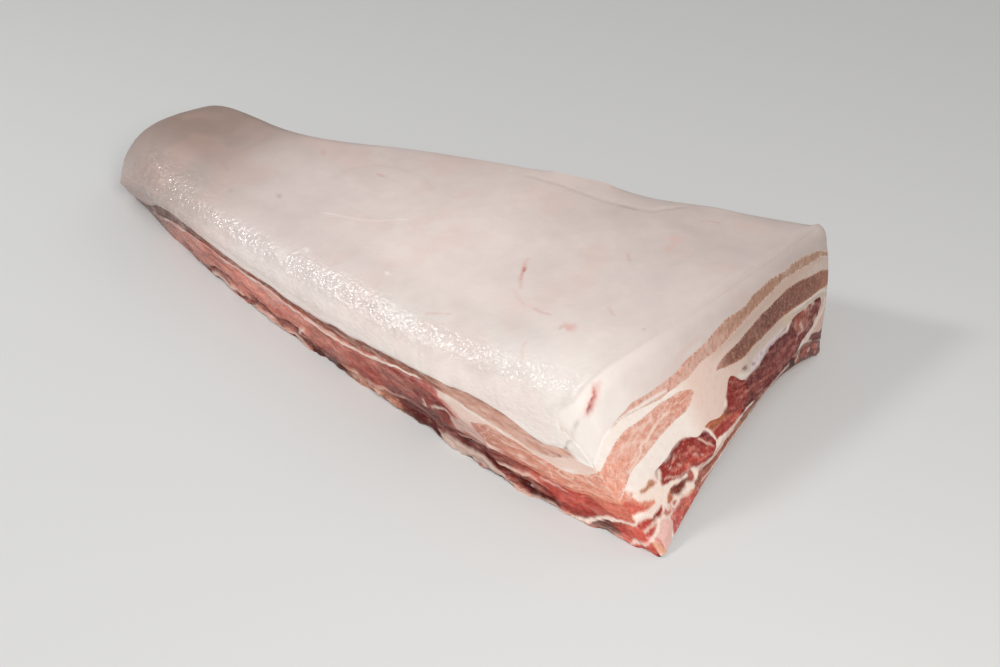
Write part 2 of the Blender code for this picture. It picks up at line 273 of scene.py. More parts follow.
def nose_arc(start, end, t):
    """A circular arc that bows out of the chord from start to end by NOSE_SAG."""
    chord = end - start
    half = np.linalg.norm(chord) / 2
    way = chord / (2 * half)
    out = np.array((-way[1], way[0]))
    radius = (half**2 + NOSE_SAG**2) / (2 * NOSE_SAG)
    angle = (2 * t - 1) * math.asin(half / radius)
    middle = (start + end) / 2 - out * (radius - NOSE_SAG)
    return [middle[k] + radius * (np.sin(angle) * way[k] + np.cos(angle) * out[k]) for k in (0, 1)]


def side_line(side, s):
    """Plan position along one long side: x straight from end to end, y through its stations."""
    return [side["x"][0] + (side["x"][1] - side["x"][0]) * s, smooth(s, SIDE_STATIONS, side["y"])]


def outline(sides, s, t):
    """Plan position inside one outline: a patch between its nose arc, two sides and face."""
    near, far = side_line(sides["near"], s), side_line(sides["far"], s)
    ends = [np.array([sides[side][axis][end] for axis in "xy"])
            for end in (0, -1) for side in ("near", "far")]
    nose = nose_arc(ends[0], ends[1], t)
    face = [smooth(t, FACE_STATIONS, sides["face"][axis]) for axis in "xy"]
    return [patch(s, t, nose[k], near[k], face[k], far[k], [end[k] for end in ends]) for k in (0, 1)]


def roll(distance, radius):
    """How far an edge has risen, from 0 to 1, at a distance in from it: a quarter circle."""
    q = np.clip(distance / radius, 0.0, 1.0)
    return np.sqrt(1.0 - (1.0 - q) ** 2)


def fat_height(s, t):
    """Height of the fat: a crown along s, which falls to the near and the far rim by a quarter
    circle over each roll's width, the lower of the two, and to the nose's rim likewise."""
    near, far = side_line(RIM["near"], s), side_line(RIM["far"], s)
    width = np.hypot(far[0] - near[0], far[1] - near[1])
    crown = smooth(s, HEIGHT_STATIONS, CROWN)
    near_rim = smooth(s, HEIGHT_STATIONS, NEAR_RIM)
    far_rim = smooth(s, HEIGHT_STATIONS, FAR_RIM)
    for place, spread, rise in FAR_LIPS:
        far_rim = far_rim + rise * np.exp(-(((s - place) / spread) ** 2))
    height = np.minimum(near_rim + (crown - near_rim) * roll(t * width, NEAR_ROLL),
                        far_rim + (crown - far_rim) * roll((1 - t) * width, FAR_ROLL))
    return NOSE_RIM + (height - NOSE_RIM) * roll(s * LENGTH, NOSE_ROLL)


def rib_side_height(s, t):
    """Height of the underside: an arch, half a skewed sine wave across, that rises towards the
    wide end; and a furrow between each two ribs, a cosine wave that fades at the sides."""
    bow = np.sin(math.pi * np.clip(t, 0.0, 1.0) ** ARCH_SKEW)
    bow = np.clip(bow, 0.0, 1.0) ** ARCH_BLUNTNESS
    arch = ARCH * bow * np.clip((s - ARCH_START) / (1 - ARCH_START), 0.0, 1.0)
    phase = np.clip(s - RIB_START, 0.0, 1.0) / RIB_PITCH
    between = (0.5 + 0.5 * np.cos(2 * math.pi * phase)) ** FURROW_SHARPNESS
    between = between * np.clip(s / RIB_START, 0.0, 1.0)
    fade = np.clip(FURROW_AT_EDGE + np.minimum(t, 1 - t) / FURROW_FADE, 0.0, 1.0)
    return arch + FURROW * between * fade


def thickness(s, t):
    """Thickness of the slab, in mm, from the rib side to the fat."""
    return (fat_height(s, t) - rib_side_height(s, t)) * 1000.0


def even_share(s, t):
    """How much of the slab's thickness is left where a straight slope takes the place of the
    fat's roll: less than 1 only beside the two long sides."""
    low, high = rib_side_height(s, t), fat_height(s, t)
    share = np.ones(np.broadcast_shapes(np.shape(s), np.shape(t)))
    for side, inner in ((0.0, COLUMN_MARKS[1]), (1.0, COLUMN_MARKS[-2])):
        part = np.clip((t - side) / (inner - side), 0.0, 1.0)
        slope = fat_height(s, side) * (1 - part) + fat_height(s, inner) * part
        share = np.where(part < 1, (slope - low) / (high - low), share)
    return share


def form(s, t, w):
    """Points of the slab, in metres: a blend by height between the foot and rim outlines, with
    a bulge on the far side, and by w between the heights of the rib side and the fat."""
    foot, rim = outline(FOOT, s, t), outline(RIM, s, t)
    bulge = FAR_BULGE * BULGE_SCALE * w * w * (1 - w) * t**BULGE_ACROSS
    low, high = rib_side_height(s, t), fat_height(s, t)
    lean = w / even_share(s, t)
    return np.stack([foot[0] * (1 - lean) + rim[0] * lean + bulge * s**BULGE_ALONG - CENTRE[0],
                     foot[1] * (1 - lean) + rim[1] * lean + bulge - CENTRE[1],
                     low + (high - low) * w], axis=-1)


def rounded(points, s, t, w, thick):
    """Rounds the edges of the sawn face off, in mm: its two side edges tightly, and its edge with
    the fat wider. How close a point is to the face and to an edge, from 0 at one radius away to
    1, is a vector; where that is longer than 1 the point moves inwards along it, so that the
    edge takes the shape of a quarter circle."""
    for axis, radius, low, high in (
            (1, SIDE_EDGE, t * WIDE, (1 - t) * WIDE),
            (2, FOOT_EDGE + (TOP_EDGE - FOOT_EDGE) * w**3, w * thick, (1 - w) * thick)):
        face, low, high = (np.clip(1 - away / radius, 0.0, 1.0)
                           for away in ((1 - s) * LONG, low, high))
        share = radius * (1 - 1 / np.maximum(np.hypot(face, high + low), 1.0))
        points[:, 0] -= share * face
        points[:, axis] -= share * (high - low)
    return points


HASH = np.array((73856093, 19349663, 83492791))
HASH_SEED = 2654435761
HASH_MIX = 0x45D9F3B
WORD = 0xFFFFFFFF
OCTAVE_SHIFT = 17.3
OCTAVE_SEED = 101
CONTRAST = 1.5


def noise(spot, size, seed, octaves=3):
    """Smooth noise from -1 to 1 about a size in mm: random values at the corners of cubes, hashed
    from the corner and the seed, eased inside each cube, and summed over octaves of half the
    size and half the strength."""
    total = np.zeros(len(spot))
    for octave in range(octaves):
        q = spot * (2**octave / size) + OCTAVE_SHIFT * octave
        cell = np.floor(q).astype(np.int64)
        part = q - cell
        part = part * part * (3.0 - 2.0 * part)
        for corner in itertools.product((0, 1), repeat=3):
            x, y, z = ((cell + corner) * HASH).T
            key = (x ^ y ^ z ^ (seed + OCTAVE_SEED * octave) * HASH_SEED) & WORD
            for _ in range(2):
                key = ((key >> 16) ^ key) * HASH_MIX & WORD
            share = np.prod(np.where(corner, part, 1.0 - part), axis=1)
            total += share * (key / 2**31 - 1.0) / 2**octave
    return np.clip(CONTRAST * total / (2 - 2 ** (1 - octaves)), -1.0, 1.0)


def ease(x, low, high):
    """0 below low, 1 above high, and between them a smooth rise, 3x squared less 2x cubed."""
    x = np.clip((x - low) / (high - low), 0.0, 1.0)
    return x * x * (3.0 - 2.0 * x)


def paint(red, green, blue):
    """A linear colour from display values out of 255: a power of 2.4 above a short straight foot."""
    c = np.array((red, green, blue)) / 255.0
    return np.where(c <= 0.04045, c / 12.92, ((c + 0.055) / 1.055) ** 2.4)


def along(u, places, colours):
    """A colour that runs straight from each of the given colours to the next at the places."""
    colours = np.array(colours)
    return np.stack([np.interp(u, places, colours[:, k]) for k in range(3)], axis=-1)


ROWS = stations(ROW_MARKS, ROW_STEPS)
COLUMNS = stations(COLUMN_MARKS, [COLUMN_STEP] * (len(COLUMN_MARKS) - 1))
COLUMN_AT = np.array([np.argmin(abs(COLUMNS - mark)) for mark in COLUMN_MARKS])
LAYER_AT = np.concatenate([[0], np.cumsum(LAYER_STEPS)])
SHAPE = (len(ROWS), len(COLUMNS), LAYER_AT[-1] + 1)
LAST = np.array(SHAPE) - 1


def layer_levels():
    """The eight levels between layers, as shares of the thickness at each row and column: the
    edge curves blended as a patch, waved by a millimetre or so, and with the middle lean
    rounded to a blunt end where it dies out in the fat. Beside the two long sides, where the
    fat rolls over, the levels climb evenly instead of with the roll."""
    s, t = (a.ravel() for a in np.meshgrid(ROWS, COLUMNS, indexing="ij"))
    thick = thickness(s, t)
    levels = {}
    for seed, (name, marks) in enumerate(BOUNDARIES.items()):
        near, face, far = (smooth(u, places, marks[side]) for side, u, places in (
            ("near", s, NEAR_MARKS), ("face", t, FACE_MARKS), ("far", s, FAR_MARKS)))
        start = marks["near"][0]
        level = patch(s, t, start, near, face, far,
                      (start, start, marks["near"][-1], marks["far"][-1]))
        spot = form(s, t, np.clip(level, 0.0, 1.0)) * 1000.0
        wave = sum(high * noise(spot, size, first + seed, 1) for high, size, first in WAVES)
        levels[name] = (level + wave / thick) * even_share(s, t)
    inside = np.maximum(np.minimum((s - NEAR_LEAN[0]) * LONG, (NEAR_LEAN[1] - t) * WIDE),
                        np.minimum((s - FAR_LEAN[0]) * LONG, (t - FAR_LEAN[1]) * WIDE))
    middle = (levels["middle_lean_top"] + levels["middle_lean_bottom"]) / 2
    half = (levels["middle_lean_top"] - levels["middle_lean_bottom"]) / 2
    half = half * roll(inside, BLUNT_END)
    levels["middle_lean_top"] = middle + half
    levels["middle_lean_bottom"] = middle - half
    stack = [np.ones_like(s)]
    for name in reversed(BOUNDARIES):
        least = THINNEST_END / thick if name == "middle_lean_bottom" else THINNEST
        stack.append(np.minimum(levels[name], stack[-1] - least))
    stack.append(np.zeros_like(s))
    return np.stack(stack[::-1], axis=-1).reshape(SHAPE[0], SHAPE[1], -1)


LEVELS = layer_levels()


def layer_of(step):
    """The layer that a step across the slab lies in; the one above where two meet."""
    return np.clip(np.searchsorted(LAYER_AT, step, side="right") - 1, 0, len(LAYER_STEPS) - 1)


def loft(index):
    """s, t and w of grid points given by row, column and step: inside a layer w climbs evenly
    from its lower level to its upper one."""
    i, j, k = index.T
    layer = layer_of(k)
    share = (k - LAYER_AT[layer]) / np.array(LAYER_STEPS)[layer]
    w = LEVELS[i, j, layer] * (1 - share) + LEVELS[i, j, layer + 1] * share
    return ROWS[i], COLUMNS[j], w


def outer_faces(cells):
    """Faces of the slab's outer skin that a set of cells owns, each turned outwards: small quads
    on the four sides, and on the fat and the rib side quads two columns wide. Also says which
    of them must take up points of the two ends."""
    column = np.repeat(np.arange(len(COLUMN_AT) - 1), np.diff(COLUMN_AT))
    layer = np.repeat(np.arange(len(LAYER_STEPS)), LAYER_STEPS)
    walls = (
        (cells[:, 0, :][:, layer], 1, 0, False), (cells[:, -1, :][:, layer], 1, LAST[1], True),
        (cells[-1][column][:, layer], 0, LAST[0], False), (cells[0][column][:, layer], 0, 0, True),
        (cells[:, :, -1][:, column[::2]], 2, LAST[2], False),
        (cells[:, :, 0][:, column[::2]], 2, 0, True),
    )
    faces, ends = [], []
    for owned, axis, place, turned in walls:
        wide = 2 if axis == 2 else 1
        a, b = np.nonzero(owned)
        ring = [np.stack([a + da, wide * (b + db)], axis=-1)
                for da, db in ((0, 0), (1, 0), (1, 1), (0, 1))]
        face = np.insert(np.stack(ring, axis=1), axis, place, axis=2)
        faces.append(face[:, ::-1] if turned else face)
        ends.append((axis == 2) & ((a == 0) | (a == LAST[0] - 1)))
    return np.concatenate(faces), np.concatenate(ends)


def inner_faces(cells):
    """Wide faces between a set of cells and its neighbours. Also says which of them end at the
    outer skin, and so must take up its points."""
    faces = []
    padded = np.pad(cells, 1)
    step = np.eye(3, dtype=int)
    for axis in range(3):
        across, up = step[(axis + 1) % 3], step[(axis + 2) % 3]
        for side in (0, 1):
            beyond = np.roll(padded, 1 - 2 * side, axis=axis)[1:-1, 1:-1, 1:-1]
            base = np.argwhere(cells & ~beyond) + side * step[axis]
            base = base[(base[:, axis] > 0) & (base[:, axis] < cells.shape[axis])]
            ring = [base, base + across, base + across + up, base + up]
            faces.append(np.stack(ring if side else ring[::-1], axis=1))
    faces = np.concatenate(faces)
    faces[..., 1] = COLUMN_AT[faces[..., 1]]
    faces[..., 2] = LAYER_AT[faces[..., 2]]
    after = np.roll(faces, -1, axis=1)
    held = ((faces == 0) | (faces == LAST)) & (after == faces)
    return faces, (held.any(axis=2) & (abs(after - faces).max(axis=2) > 1)).any(axis=1)


def refine(ring):
    """The corners of one face, with the skin's points added: every point along an edge that
    lies on a side or an end, and every second column along one on the fat or the rib side."""
    points = []
    for a, b in zip(ring, np.roll(ring, -1, axis=0)):
        axis = int(np.argmax(abs(b - a)))
        count = abs(b - a).max()
        at_end, at_side, at_top = ((a == 0) | (a == LAST)) & (a == b)
        if not (at_end or at_side and axis == 2):
            count = count // 2 if at_top and axis == 1 else 1
        points += [a + (b - a) * n // count for n in range(count)]
    return np.array(points)


# The sides are smooth within this many mm of the sawn face, and a wall's own inward direction is
# taken over this many rows.
SMOOTH_BY_SAW = 9.0
ROWS_INWARDS = 4


class Skin:
    """The points of one piece, and what is painted on them: a tint, a lift off the surface in
    mm, and a gloss from 0 to 1. Swell is the common unevenness of the sides, and waver is how
    far the outline of a mark strays, both in mm."""

    def __init__(self, index):
        self.s, self.t, self.w = loft(index)
        thick = thickness(self.s, self.t)
        self.spot = rounded(form(self.s, self.t, self.w) * 1000.0, self.s, self.t, self.w, thick)
        self.index = index
        self.near, self.far = index[:, 1] == 0, index[:, 1] == LAST[1]
        self.nose, self.face = index[:, 0] == 0, index[:, 0] == LAST[0]
        self.under, self.top = index[:, 2] == 0, index[:, 2] == LAST[2]
        self.side = (self.near | self.far | self.nose) & ~self.face
        self.layer = layer_of(index[:, 2])
        self.tint = np.zeros((len(index), 3))
        self.lift = np.zeros(len(index))
        self.gloss = np.zeros(len(index))
        self.to_face = (1 - self.s) * LONG
        uneven = self.side * ease(self.to_face, 0.0, SMOOTH_BY_SAW)
        self.swell = (0.06 * noise(self.spot, 4.0, 7, 2) + uneven * (
            0.55 * noise(self.spot, 16.0, 5, 2) + 0.2 * noise(self.spot, 4.0, 6, 2)))
        self.waver = np.stack([noise(self.spot, 5.0, 31 + k, 3) for k in (0, 1)], axis=-1)
        levels = LEVELS[index[:, 0], index[:, 1]]
        rows = np.arange(len(index))
        self.below = (self.w - levels[rows, self.layer]) * thick
        self.above = (levels[rows, self.layer + 1] - self.w) * thick
        self.rim = np.minimum(self.below, self.above)

    def outwards(self, faces):
        """Which way each point lifts: square to the fat and the rib side, and off the sides and
        ends along the layers, so that every lift and hollow stays between its neighbours."""
        ring = self.spot[faces]
        square = np.cross(ring[:, 2] - ring[:, 0], ring[:, 3] - ring[:, 1])
        away = np.zeros_like(self.spot)
        for corner in range(4):
            np.add.at(away, faces[:, corner], square)
        inwards = self.index.copy()
        inwards[self.near, 1] = COLUMN_AT[1]
        inwards[self.far, 1] = COLUMN_AT[-2]
        inwards[self.face, 0] -= ROWS_INWARDS
        inwards[self.nose, 0] += ROWS_INWARDS
        edge = self.side | self.face
        away[edge] = form(*loft(self.index[edge])) - form(*loft(inwards[edge]))
        return away / np.maximum(np.linalg.norm(away, axis=1, keepdims=True), 1e-9)

    def mix(self, colour, amount):
        """Blend a colour in by an amount from 0 to 1 at each point."""
        self.tint += (np.asarray(colour) - self.tint) * np.clip(amount, 0.0, 1.0)[:, None]

    def darken(self, share):
        """Take a share of the tint away at each point, or add to it where the share is negative."""
        self.tint *= (1 - share)[:, None]

    def shade(self, amount=0.22):
        """Painted shade: the far part of the sawn face is painted darker than the near part, as less
        light falls there.
        """
        self.darken(np.where(self.face, amount * ease(self.t, 0.3, 0.62), 0.0))

    def streak(self, light, dark, grain, strength):
        """Blend towards a light colour where the grain is high and a dark one where it is low."""
        self.mix(light, strength * np.clip(grain, 0.0, 1.0))
        self.mix(dark, strength * np.clip(-grain, 0.0, 1.0))


# How long the sides and how wide the sawn face are along their curves, in mm.
SIDE_LONG = 484.0
FACE_WIDE = 203.0


def flat(wall, a, b):
    """Millimetres on one wall: along it and up it, or x and y on the fat."""
    if wall == "top":
        return form(a, b, np.ones(np.shape(a)))[..., :2] * 1000.0
    s, t = (1.0, a) if wall == "face" else (a, 0.0 if wall == "near" else 1.0)
    s, t = np.broadcast_arrays(s, t)
    return np.stack([a * (FACE_WIDE if wall == "face" else SIDE_LONG), b * thickness(s, t)], axis=-1)


class Wall:
    """One wall of a piece, laid out flat in mm, to paint on. Its outlines waver a little. Places on
    it are thousandths of its length, and of its height or, on the fat, of its width."""

    def __init__(self, skin, name, waver=0.8):
        self.skin, self.name = skin, name
        self.chosen = np.flatnonzero(getattr(skin, name))
        across = skin.t if name == "face" else skin.s
        up = skin.t if name == "top" else skin.w
        self.place = flat(name, across[self.chosen], up[self.chosen]) + waver * skin.waver[self.chosen]

    def reach(self, points, margin, closed):
        """The wall's points close to a line; how far each is from it in mm, less than 0 inside a
        closed outline; and how far along the line its nearest place is, from 0 to 1."""
        line = flat(self.name, *(np.array(points) / 1000.0).T)
        if closed:
            line = np.concatenate([line, line[:1]])
        close = np.flatnonzero(((self.place > line.min(0) - margin)
                                & (self.place < line.max(0) + margin)).all(axis=1))
        place = self.place[close][:, None]
        start, leg = line[:-1], np.diff(line, axis=0)
        x = np.clip(((place - start) * leg).sum(-1) / ((leg**2).sum(-1) + 1e-9), 0.0, 1.0)
        away = np.linalg.norm(place - start - x[..., None] * leg, axis=-1)
        nearest = away.argmin(axis=1)
        rows = np.arange(len(close))
        distance, part = away[rows, nearest], (nearest + x[rows, nearest]) / len(leg)
        if closed:
            up = place[..., 1]
            crossed = (start[:, 1] > up) != (start[:, 1] + leg[:, 1] > up)
            rise = np.where(leg[:, 1] == 0, 1e-9, leg[:, 1])
            left = place[..., 0] < start[:, 0] + leg[:, 0] * (up - start[:, 1]) / rise
            distance = np.where((crossed & left).sum(axis=1) % 2 == 1, -distance, distance)
        return close, distance, part

    def lay(self, close, amount, colour, lift, strength):
        """Put a lift, and a colour if there is one, on some points by an amount from 0 to 1."""
        at = self.chosen[close]
        if colour is not None:
            self.skin.tint[at] += (colour - self.skin.tint[at]) * (amount * strength)[:, None]
        self.skin.lift[at] += amount * lift

    def fill(self, colour, points, soft=0.5, lift=0.0, strength=1.0, fleck=None):
        """Colour the inside of an outline, all of it or only where a noise (size, seed, low,
        high) is above its range."""
        close, distance, _ = self.reach(points, 2 * soft, True)
        amount = 1.0 - ease(distance, -soft, soft)
        if fleck:
            size, seed, low, high = fleck
            amount *= ease(noise(self.skin.spot[self.chosen[close]], size, seed, 3), low, high)
        self.lay(close, amount, colour, lift, strength)

    def stroke(self, colour, half, points, soft=0.4, lift=0.0, strength=1.0):
        """Colour a line of a half-width in mm, which narrows to its two ends."""
        close, distance, part = self.reach(points, half + 2 * soft, False)
        taper = half * (0.35 + 0.65 * np.sqrt(np.clip(4 * part * (1 - part), 0.0, 1.0)))
        self.lay(close, 1.0 - ease(distance - taper, -soft, soft), colour, lift, strength)


SHARPEST = math.radians(60)
FAR_FROM_RIM = 9.0


def piece(name, cells, finish, material):
    """One closed mesh for a layer: its share of the outer skin, painted and lifted along the
    skin's own direction, and plain faces where it meets the other layers."""
    skin_faces, skin_split = outer_faces(cells)
    seam_faces, seam_split = inner_faces(cells)
    faces = np.concatenate([skin_faces, seam_faces])
    split = np.flatnonzero(np.concatenate([skin_split, seam_split]))
    rings = [refine(one) for one in faces[split]]
    corners = np.concatenate([faces.reshape(-1, 3)] + rings)
    used, where = np.unique(np.ravel_multi_index(tuple(corners.T), SHAPE), return_inverse=True)
    ids, rest = where[:len(faces) * 4].reshape(-1, 4), where[len(faces) * 4:]
    ring_ids = np.split(rest, np.cumsum([len(one) for one in rings]))[:-1]
    seams = np.zeros(len(used), bool)
    seams[ids[len(skin_faces):]] = True
    polygons = ids.tolist()
    fans = []
    for at, ring, one in zip(split, rings, ring_ids):
        if at < len(skin_faces):
            polygons[at] = one.tolist()
            continue
        seams[one] = True
        polygons[at] = None
        one = np.roll(one, -((ring == 0) | (ring == LAST)).sum(axis=1).argmin())
        fans += [[one[0], one[n], one[n + 1]] for n in range(1, len(one) - 1)]
    polygons = [one for one in polygons if one is not None] + fans

    skin = Skin(np.stack(np.unravel_index(used, SHAPE), axis=-1))
    finish(skin)
    skin.lift[seams] = skin.swell[seams]
    points = (skin.spot + skin.outwards(ids[:len(skin_faces)]) * skin.lift[:, None]) / 1000.0
    points[:, 2] = np.maximum(points[:, 2], 0.0)

    mesh = bpy.data.meshes.new(f"{name}_skin")
    mesh.from_pydata(points, [], polygons, shade_flat=False)
    mesh.set_sharp_from_angle(angle=SHARPEST)
    # The skin's faces come first, so every edge that comes after theirs is one of a face between
    # two layers, and is kept sharp.
    sharp, edges = np.zeros(len(mesh.edges), bool), np.zeros(len(mesh.loops), int)
    mesh.edges.foreach_get("use_edge_sharp", sharp)
    mesh.loops.foreach_get("edge_index", edges)
    added = sum(len(one) - 4 for one in rings[:skin_split.sum()])
    sharp[edges[len(skin_faces) * 4 + added:]] = True
    mesh.edges.foreach_set("use_edge_sharp", sharp)
    tint = mesh.color_attributes.new("tint", "FLOAT_COLOR", "POINT")
    rgba = np.concatenate([np.clip(skin.tint, 0.0, 1.0), np.ones((len(used), 1))], axis=1)
    tint.data.foreach_set("color", rgba.astype(np.float32).ravel())
    redness = 1.0 - skin.tint[:, 1] / np.maximum(skin.tint[:, 0], 0.01)
    for label, values in (("gloss", np.clip(skin.gloss, 0.0, 1.0)),
                          ("rim", np.clip(skin.rim, 0.0, FAR_FROM_RIM)),
                          ("fibre", ease(redness, 0.25, 0.65))):
        painted = mesh.attributes.new(label, "FLOAT", "POINT")
        painted.data.foreach_set("value", values.astype(np.float32))
    mesh.materials.append(material)
    mesh.update()
    made = bpy.data.objects.new(f"{name}_skin", mesh)
    scene.collection.objects.link(made)
    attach(made, "root")
    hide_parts(name)


# The finish of all the meat: the colour of its flecks of fat, the middle range of the noise, how
# much coarser strands and flecks are than threads, and the wet film over it.
PALE_FLECK = (0.88, 0.63, 0.53)
MIDDLE_RANGE = (0.3, 0.7)
STRAND_SIZE = 3.2
FLECK_SIZE = 1.5
FILM_ROUGHNESS = 0.14
FILM_IOR = 1.38


def tissue(name, dull, shiny, swell, grain, stretch, dimple, bump, coat, flecks, fray=None,
           specular=0.35):
    """A wet-tissue finish. Fibres are noise of the given grain in metres, drawn out along the
    slab: they shade the painted tint up and down and fleck it with pale fat, most where it is
    red, fray the rim of the piece into the colour of its neighbour, and raise a fine relief
    that grows with the painted gloss, as the shine does."""
    material = bpy.data.materials.new(name)
    material.use_nodes = True
    nodes, links = material.node_tree.nodes, material.node_tree.links
    shader = nodes["Principled BSDF"]
    where = nodes.new("ShaderNodeTexCoord")

    def painted(label):
        """A value painted on the points."""
        node = nodes.new("ShaderNodeAttribute")
        node.attribute_name = label
        return node

    def cloud(size, detail):
        """Noise of one size in metres on the object's own coordinates, drawn out along it."""
        place, node = nodes.new("ShaderNodeMapping"), nodes.new("ShaderNodeTexNoise")
        place.inputs["Scale"].default_value = (stretch / size, 1.0 / size, 1.0 / size)
        node.inputs["Scale"].default_value = 1.0
        node.inputs["Detail"].default_value = detail
        links.new(where.outputs["Object"], place.inputs["Vector"])
        links.new(place.outputs["Vector"], node.inputs["Vector"])
        return node.outputs["Fac"]

    def spread(value, low, high, start, end):
        """A value from low to high, laid out from start to end."""
        node = nodes.new("ShaderNodeMapRange")
        for label, number in zip(("From Min", "From Max", "To Min", "To Max"), (low, high, start, end)):
            node.inputs[label].default_value = number
        links.new(value, node.inputs["Value"])
        return node.outputs["Result"]

    def sums(operation, first, second, third=0.0):
        """One sum of numbers or values."""
        node = nodes.new("ShaderNodeMath")
        node.operation = operation
        for socket, value in zip(node.inputs, (first, second, third)):
            if isinstance(value, float):
                socket.default_value = value
            else:
                links.new(value, socket)
        return node.outputs["Value"]

    def blend(amount, first, second):
        """The first colour turned into the second by an amount."""
        node = nodes.new("ShaderNodeMix")
        node.data_type = "RGBA"
        links.new(amount, node.inputs[0])
        links.new(first, node.inputs[6])
        node.inputs[7].default_value = (*second, 1.0)
        return node.outputs[2]

    thread, strand = cloud(grain, 4.0), cloud(grain * STRAND_SIZE, 3.0)
    red = painted("fibre").outputs["Fac"]
    swing = sums("ADD", spread(thread, *MIDDLE_RANGE, -swell, swell),
                 spread(strand, *MIDDLE_RANGE, -swell * 0.6, swell * 0.6))
    level = sums("MULTIPLY_ADD", swing, spread(red, 0.0, 1.0, 0.12, 1.0), 1.0)
    shade = nodes.new("ShaderNodeVectorMath")
    shade.operation = "SCALE"
    links.new(painted("tint").outputs["Color"], shade.inputs[0])
    links.new(level, shade.inputs["Scale"])
    colour = shade.outputs["Vector"]
    fat = spread(cloud(grain * FLECK_SIZE, 3.0), 0.56, 0.72, 0.0, flecks)
    colour = blend(sums("MULTIPLY", fat, red), colour, PALE_FLECK)
    if fray is not None:
        rim = sums("SUBTRACT", spread(thread, 0.35, 0.65, 0.0, 1.5), painted("rim").outputs["Fac"])
        colour = blend(spread(rim, 0.0, 0.8, 0.0, 0.85), colour, fray)
    links.new(colour, shader.inputs["Base Color"])

    gloss = painted("gloss").outputs["Fac"]
    rough = sums("ADD", spread(gloss, 0.0, 1.0, dull, shiny),
                 spread(strand, *MIDDLE_RANGE, -0.06, 0.06))
    links.new(rough, shader.inputs["Roughness"])
    relief = nodes.new("ShaderNodeBump")
    relief.inputs["Distance"].default_value = bump
    links.new(gloss, relief.inputs["Strength"])
    links.new(cloud(dimple, 2.0), relief.inputs["Height"])
    links.new(relief.outputs["Normal"], shader.inputs["Normal"])
    shader.inputs["Coat Weight"].default_value = coat
    shader.inputs["Coat Roughness"].default_value = FILM_ROUGHNESS
    shader.inputs["IOR"].default_value = FILM_IOR
    shader.inputs["Specular IOR Level"].default_value = specular
    return material


def cells_of(*layers, rows=(0.0, 1.0), columns=(0.0, 1.0)):
    """The coarse cells of some layers, numbered from the rib side, inside a range of s and t."""
    cells = np.zeros((len(ROWS) - 1, len(COLUMN_MARKS) - 1, len(LAYER_STEPS)), bool)
    s = (ROWS[1:] + ROWS[:-1])[:, None] / 2
    t = (np.array(COLUMN_MARKS[1:]) + COLUMN_MARKS[:-1])[None, :] / 2
    inside = (s > rows[0]) & (s < rows[1]) & (t > columns[0]) & (t < columns[1])
    for layer in layers:
        cells[:, :, layer] = inside
    return cells


CREAM = paint(252, 243, 236)
FAT_WHITE = paint(240, 224, 217)
FAT_PALE = paint(232, 215, 209)
FAT_GREY = paint(206, 188, 180)
FAT_NOSE = paint(176, 157, 149)
FAT_BROWN = paint(146, 120, 106)
RED_MARK = paint(200, 104, 92)
PINK_MARK = paint(224, 174, 162)
GREY_MARK = paint(170, 150, 140)
NICK_RED = paint(170, 66, 58)
SLIT_RED = paint(150, 60, 54)
# Painted shade under the fat's lip, and the dark brown at the foot of the nose's sides, partly painted
# shade.
LIP_SHADE = paint(196, 156, 142)
NOSE_SHADE_BROWN = paint(92, 62, 50)
LIP_HIGH, LIP_PROUD = 5.0, 0.9
HORN_HIGH, HORN_LONG, HORN_WIDE = 4.5, 5.0, 6.0
PUCKER_TILT = np.array(((0.5, 0.5, 0.0), (-0.5, 0.8, 0.0), (0.0, 0.0, 0.6)))


def fat_colours(skin):
    """Greyer at the nose and the far side, white at the near wide corner, and clouded pink. The grey
    and brown towards the nose and the far side, and a darker stretch of the top towards the nose,
    are partly the fat's own tone and partly painted shade. Along the near rim a cream wash is partly
    a painted wet sheen; painted shade darkens the slope of the near shoulder, where the light falls
    steeply, and the rounded edge beside the sawn face, to hold down the highlight on it."""
    s, t = skin.s, skin.t
    # The grey and brown towards the nose and the far side are partly painted shade.
    skin.tint = along(s, (0.0, 0.1, 0.24, 0.36, 0.7, 1.0),
                      (FAT_NOSE, FAT_NOSE, FAT_GREY, FAT_PALE, FAT_WHITE, FAT_WHITE))
    skin.mix(FAT_GREY, 0.62 * ease(t, 0.45, 0.95) * ease(s, 0.1, 0.5))
    skin.mix(CREAM, 0.75 * ease(s, 0.45, 0.95) * (1 - ease(t, 0.02, 0.45)))
    # Cream along the near rim, partly a painted wet sheen.
    skin.mix(CREAM, 0.45 * ease(s, 0.20, 0.36) * (1 - ease(t, 0.0, 0.16)))
    skin.mix(FAT_BROWN, 0.66 * ease(0.30 - s, 0.0, 0.16) * ease(t, 0.16, 0.55))
    # Painted shade over the wide half away from the near side, and at the wide end.
    skin.darken(0.13 * ease(s, 0.62, 0.8) * ease(t, 0.12, 0.45) + 0.05 * ease(s, 0.8, 1.0))
    skin.darken(-0.045 * noise(skin.spot, 26.0, 41) - 0.03 * noise(skin.spot, 7.0, 42))
    # Painted shade over the top towards the nose.
    skin.darken(0.14 * ease(s, 0.16, 0.22) * (1 - ease(s, 0.32, 0.64)) * ease(t, 0.14, 0.26)
                * (1 - 0.4 * ease(t, 0.42, 0.6)))
    skin.mix(PINK_MARK, 0.14 * ease(noise(skin.spot, 30.0, 46), 0.0, 0.6))
    # Painted shade over the rounded edge beside the sawn face, and down the near shoulder.
    skin.darken(0.06 * skin.top * np.exp(-((skin.to_face - 6.0) / 4.5) ** 2))
    skin.darken(0.15 * skin.top * ease(t, 0.0, 0.03) * (1 - ease(t, 0.14, 0.32))
                * ease(s, 0.15, 0.32) * (1 - 0.7 * ease(s, 0.85, 0.97)))


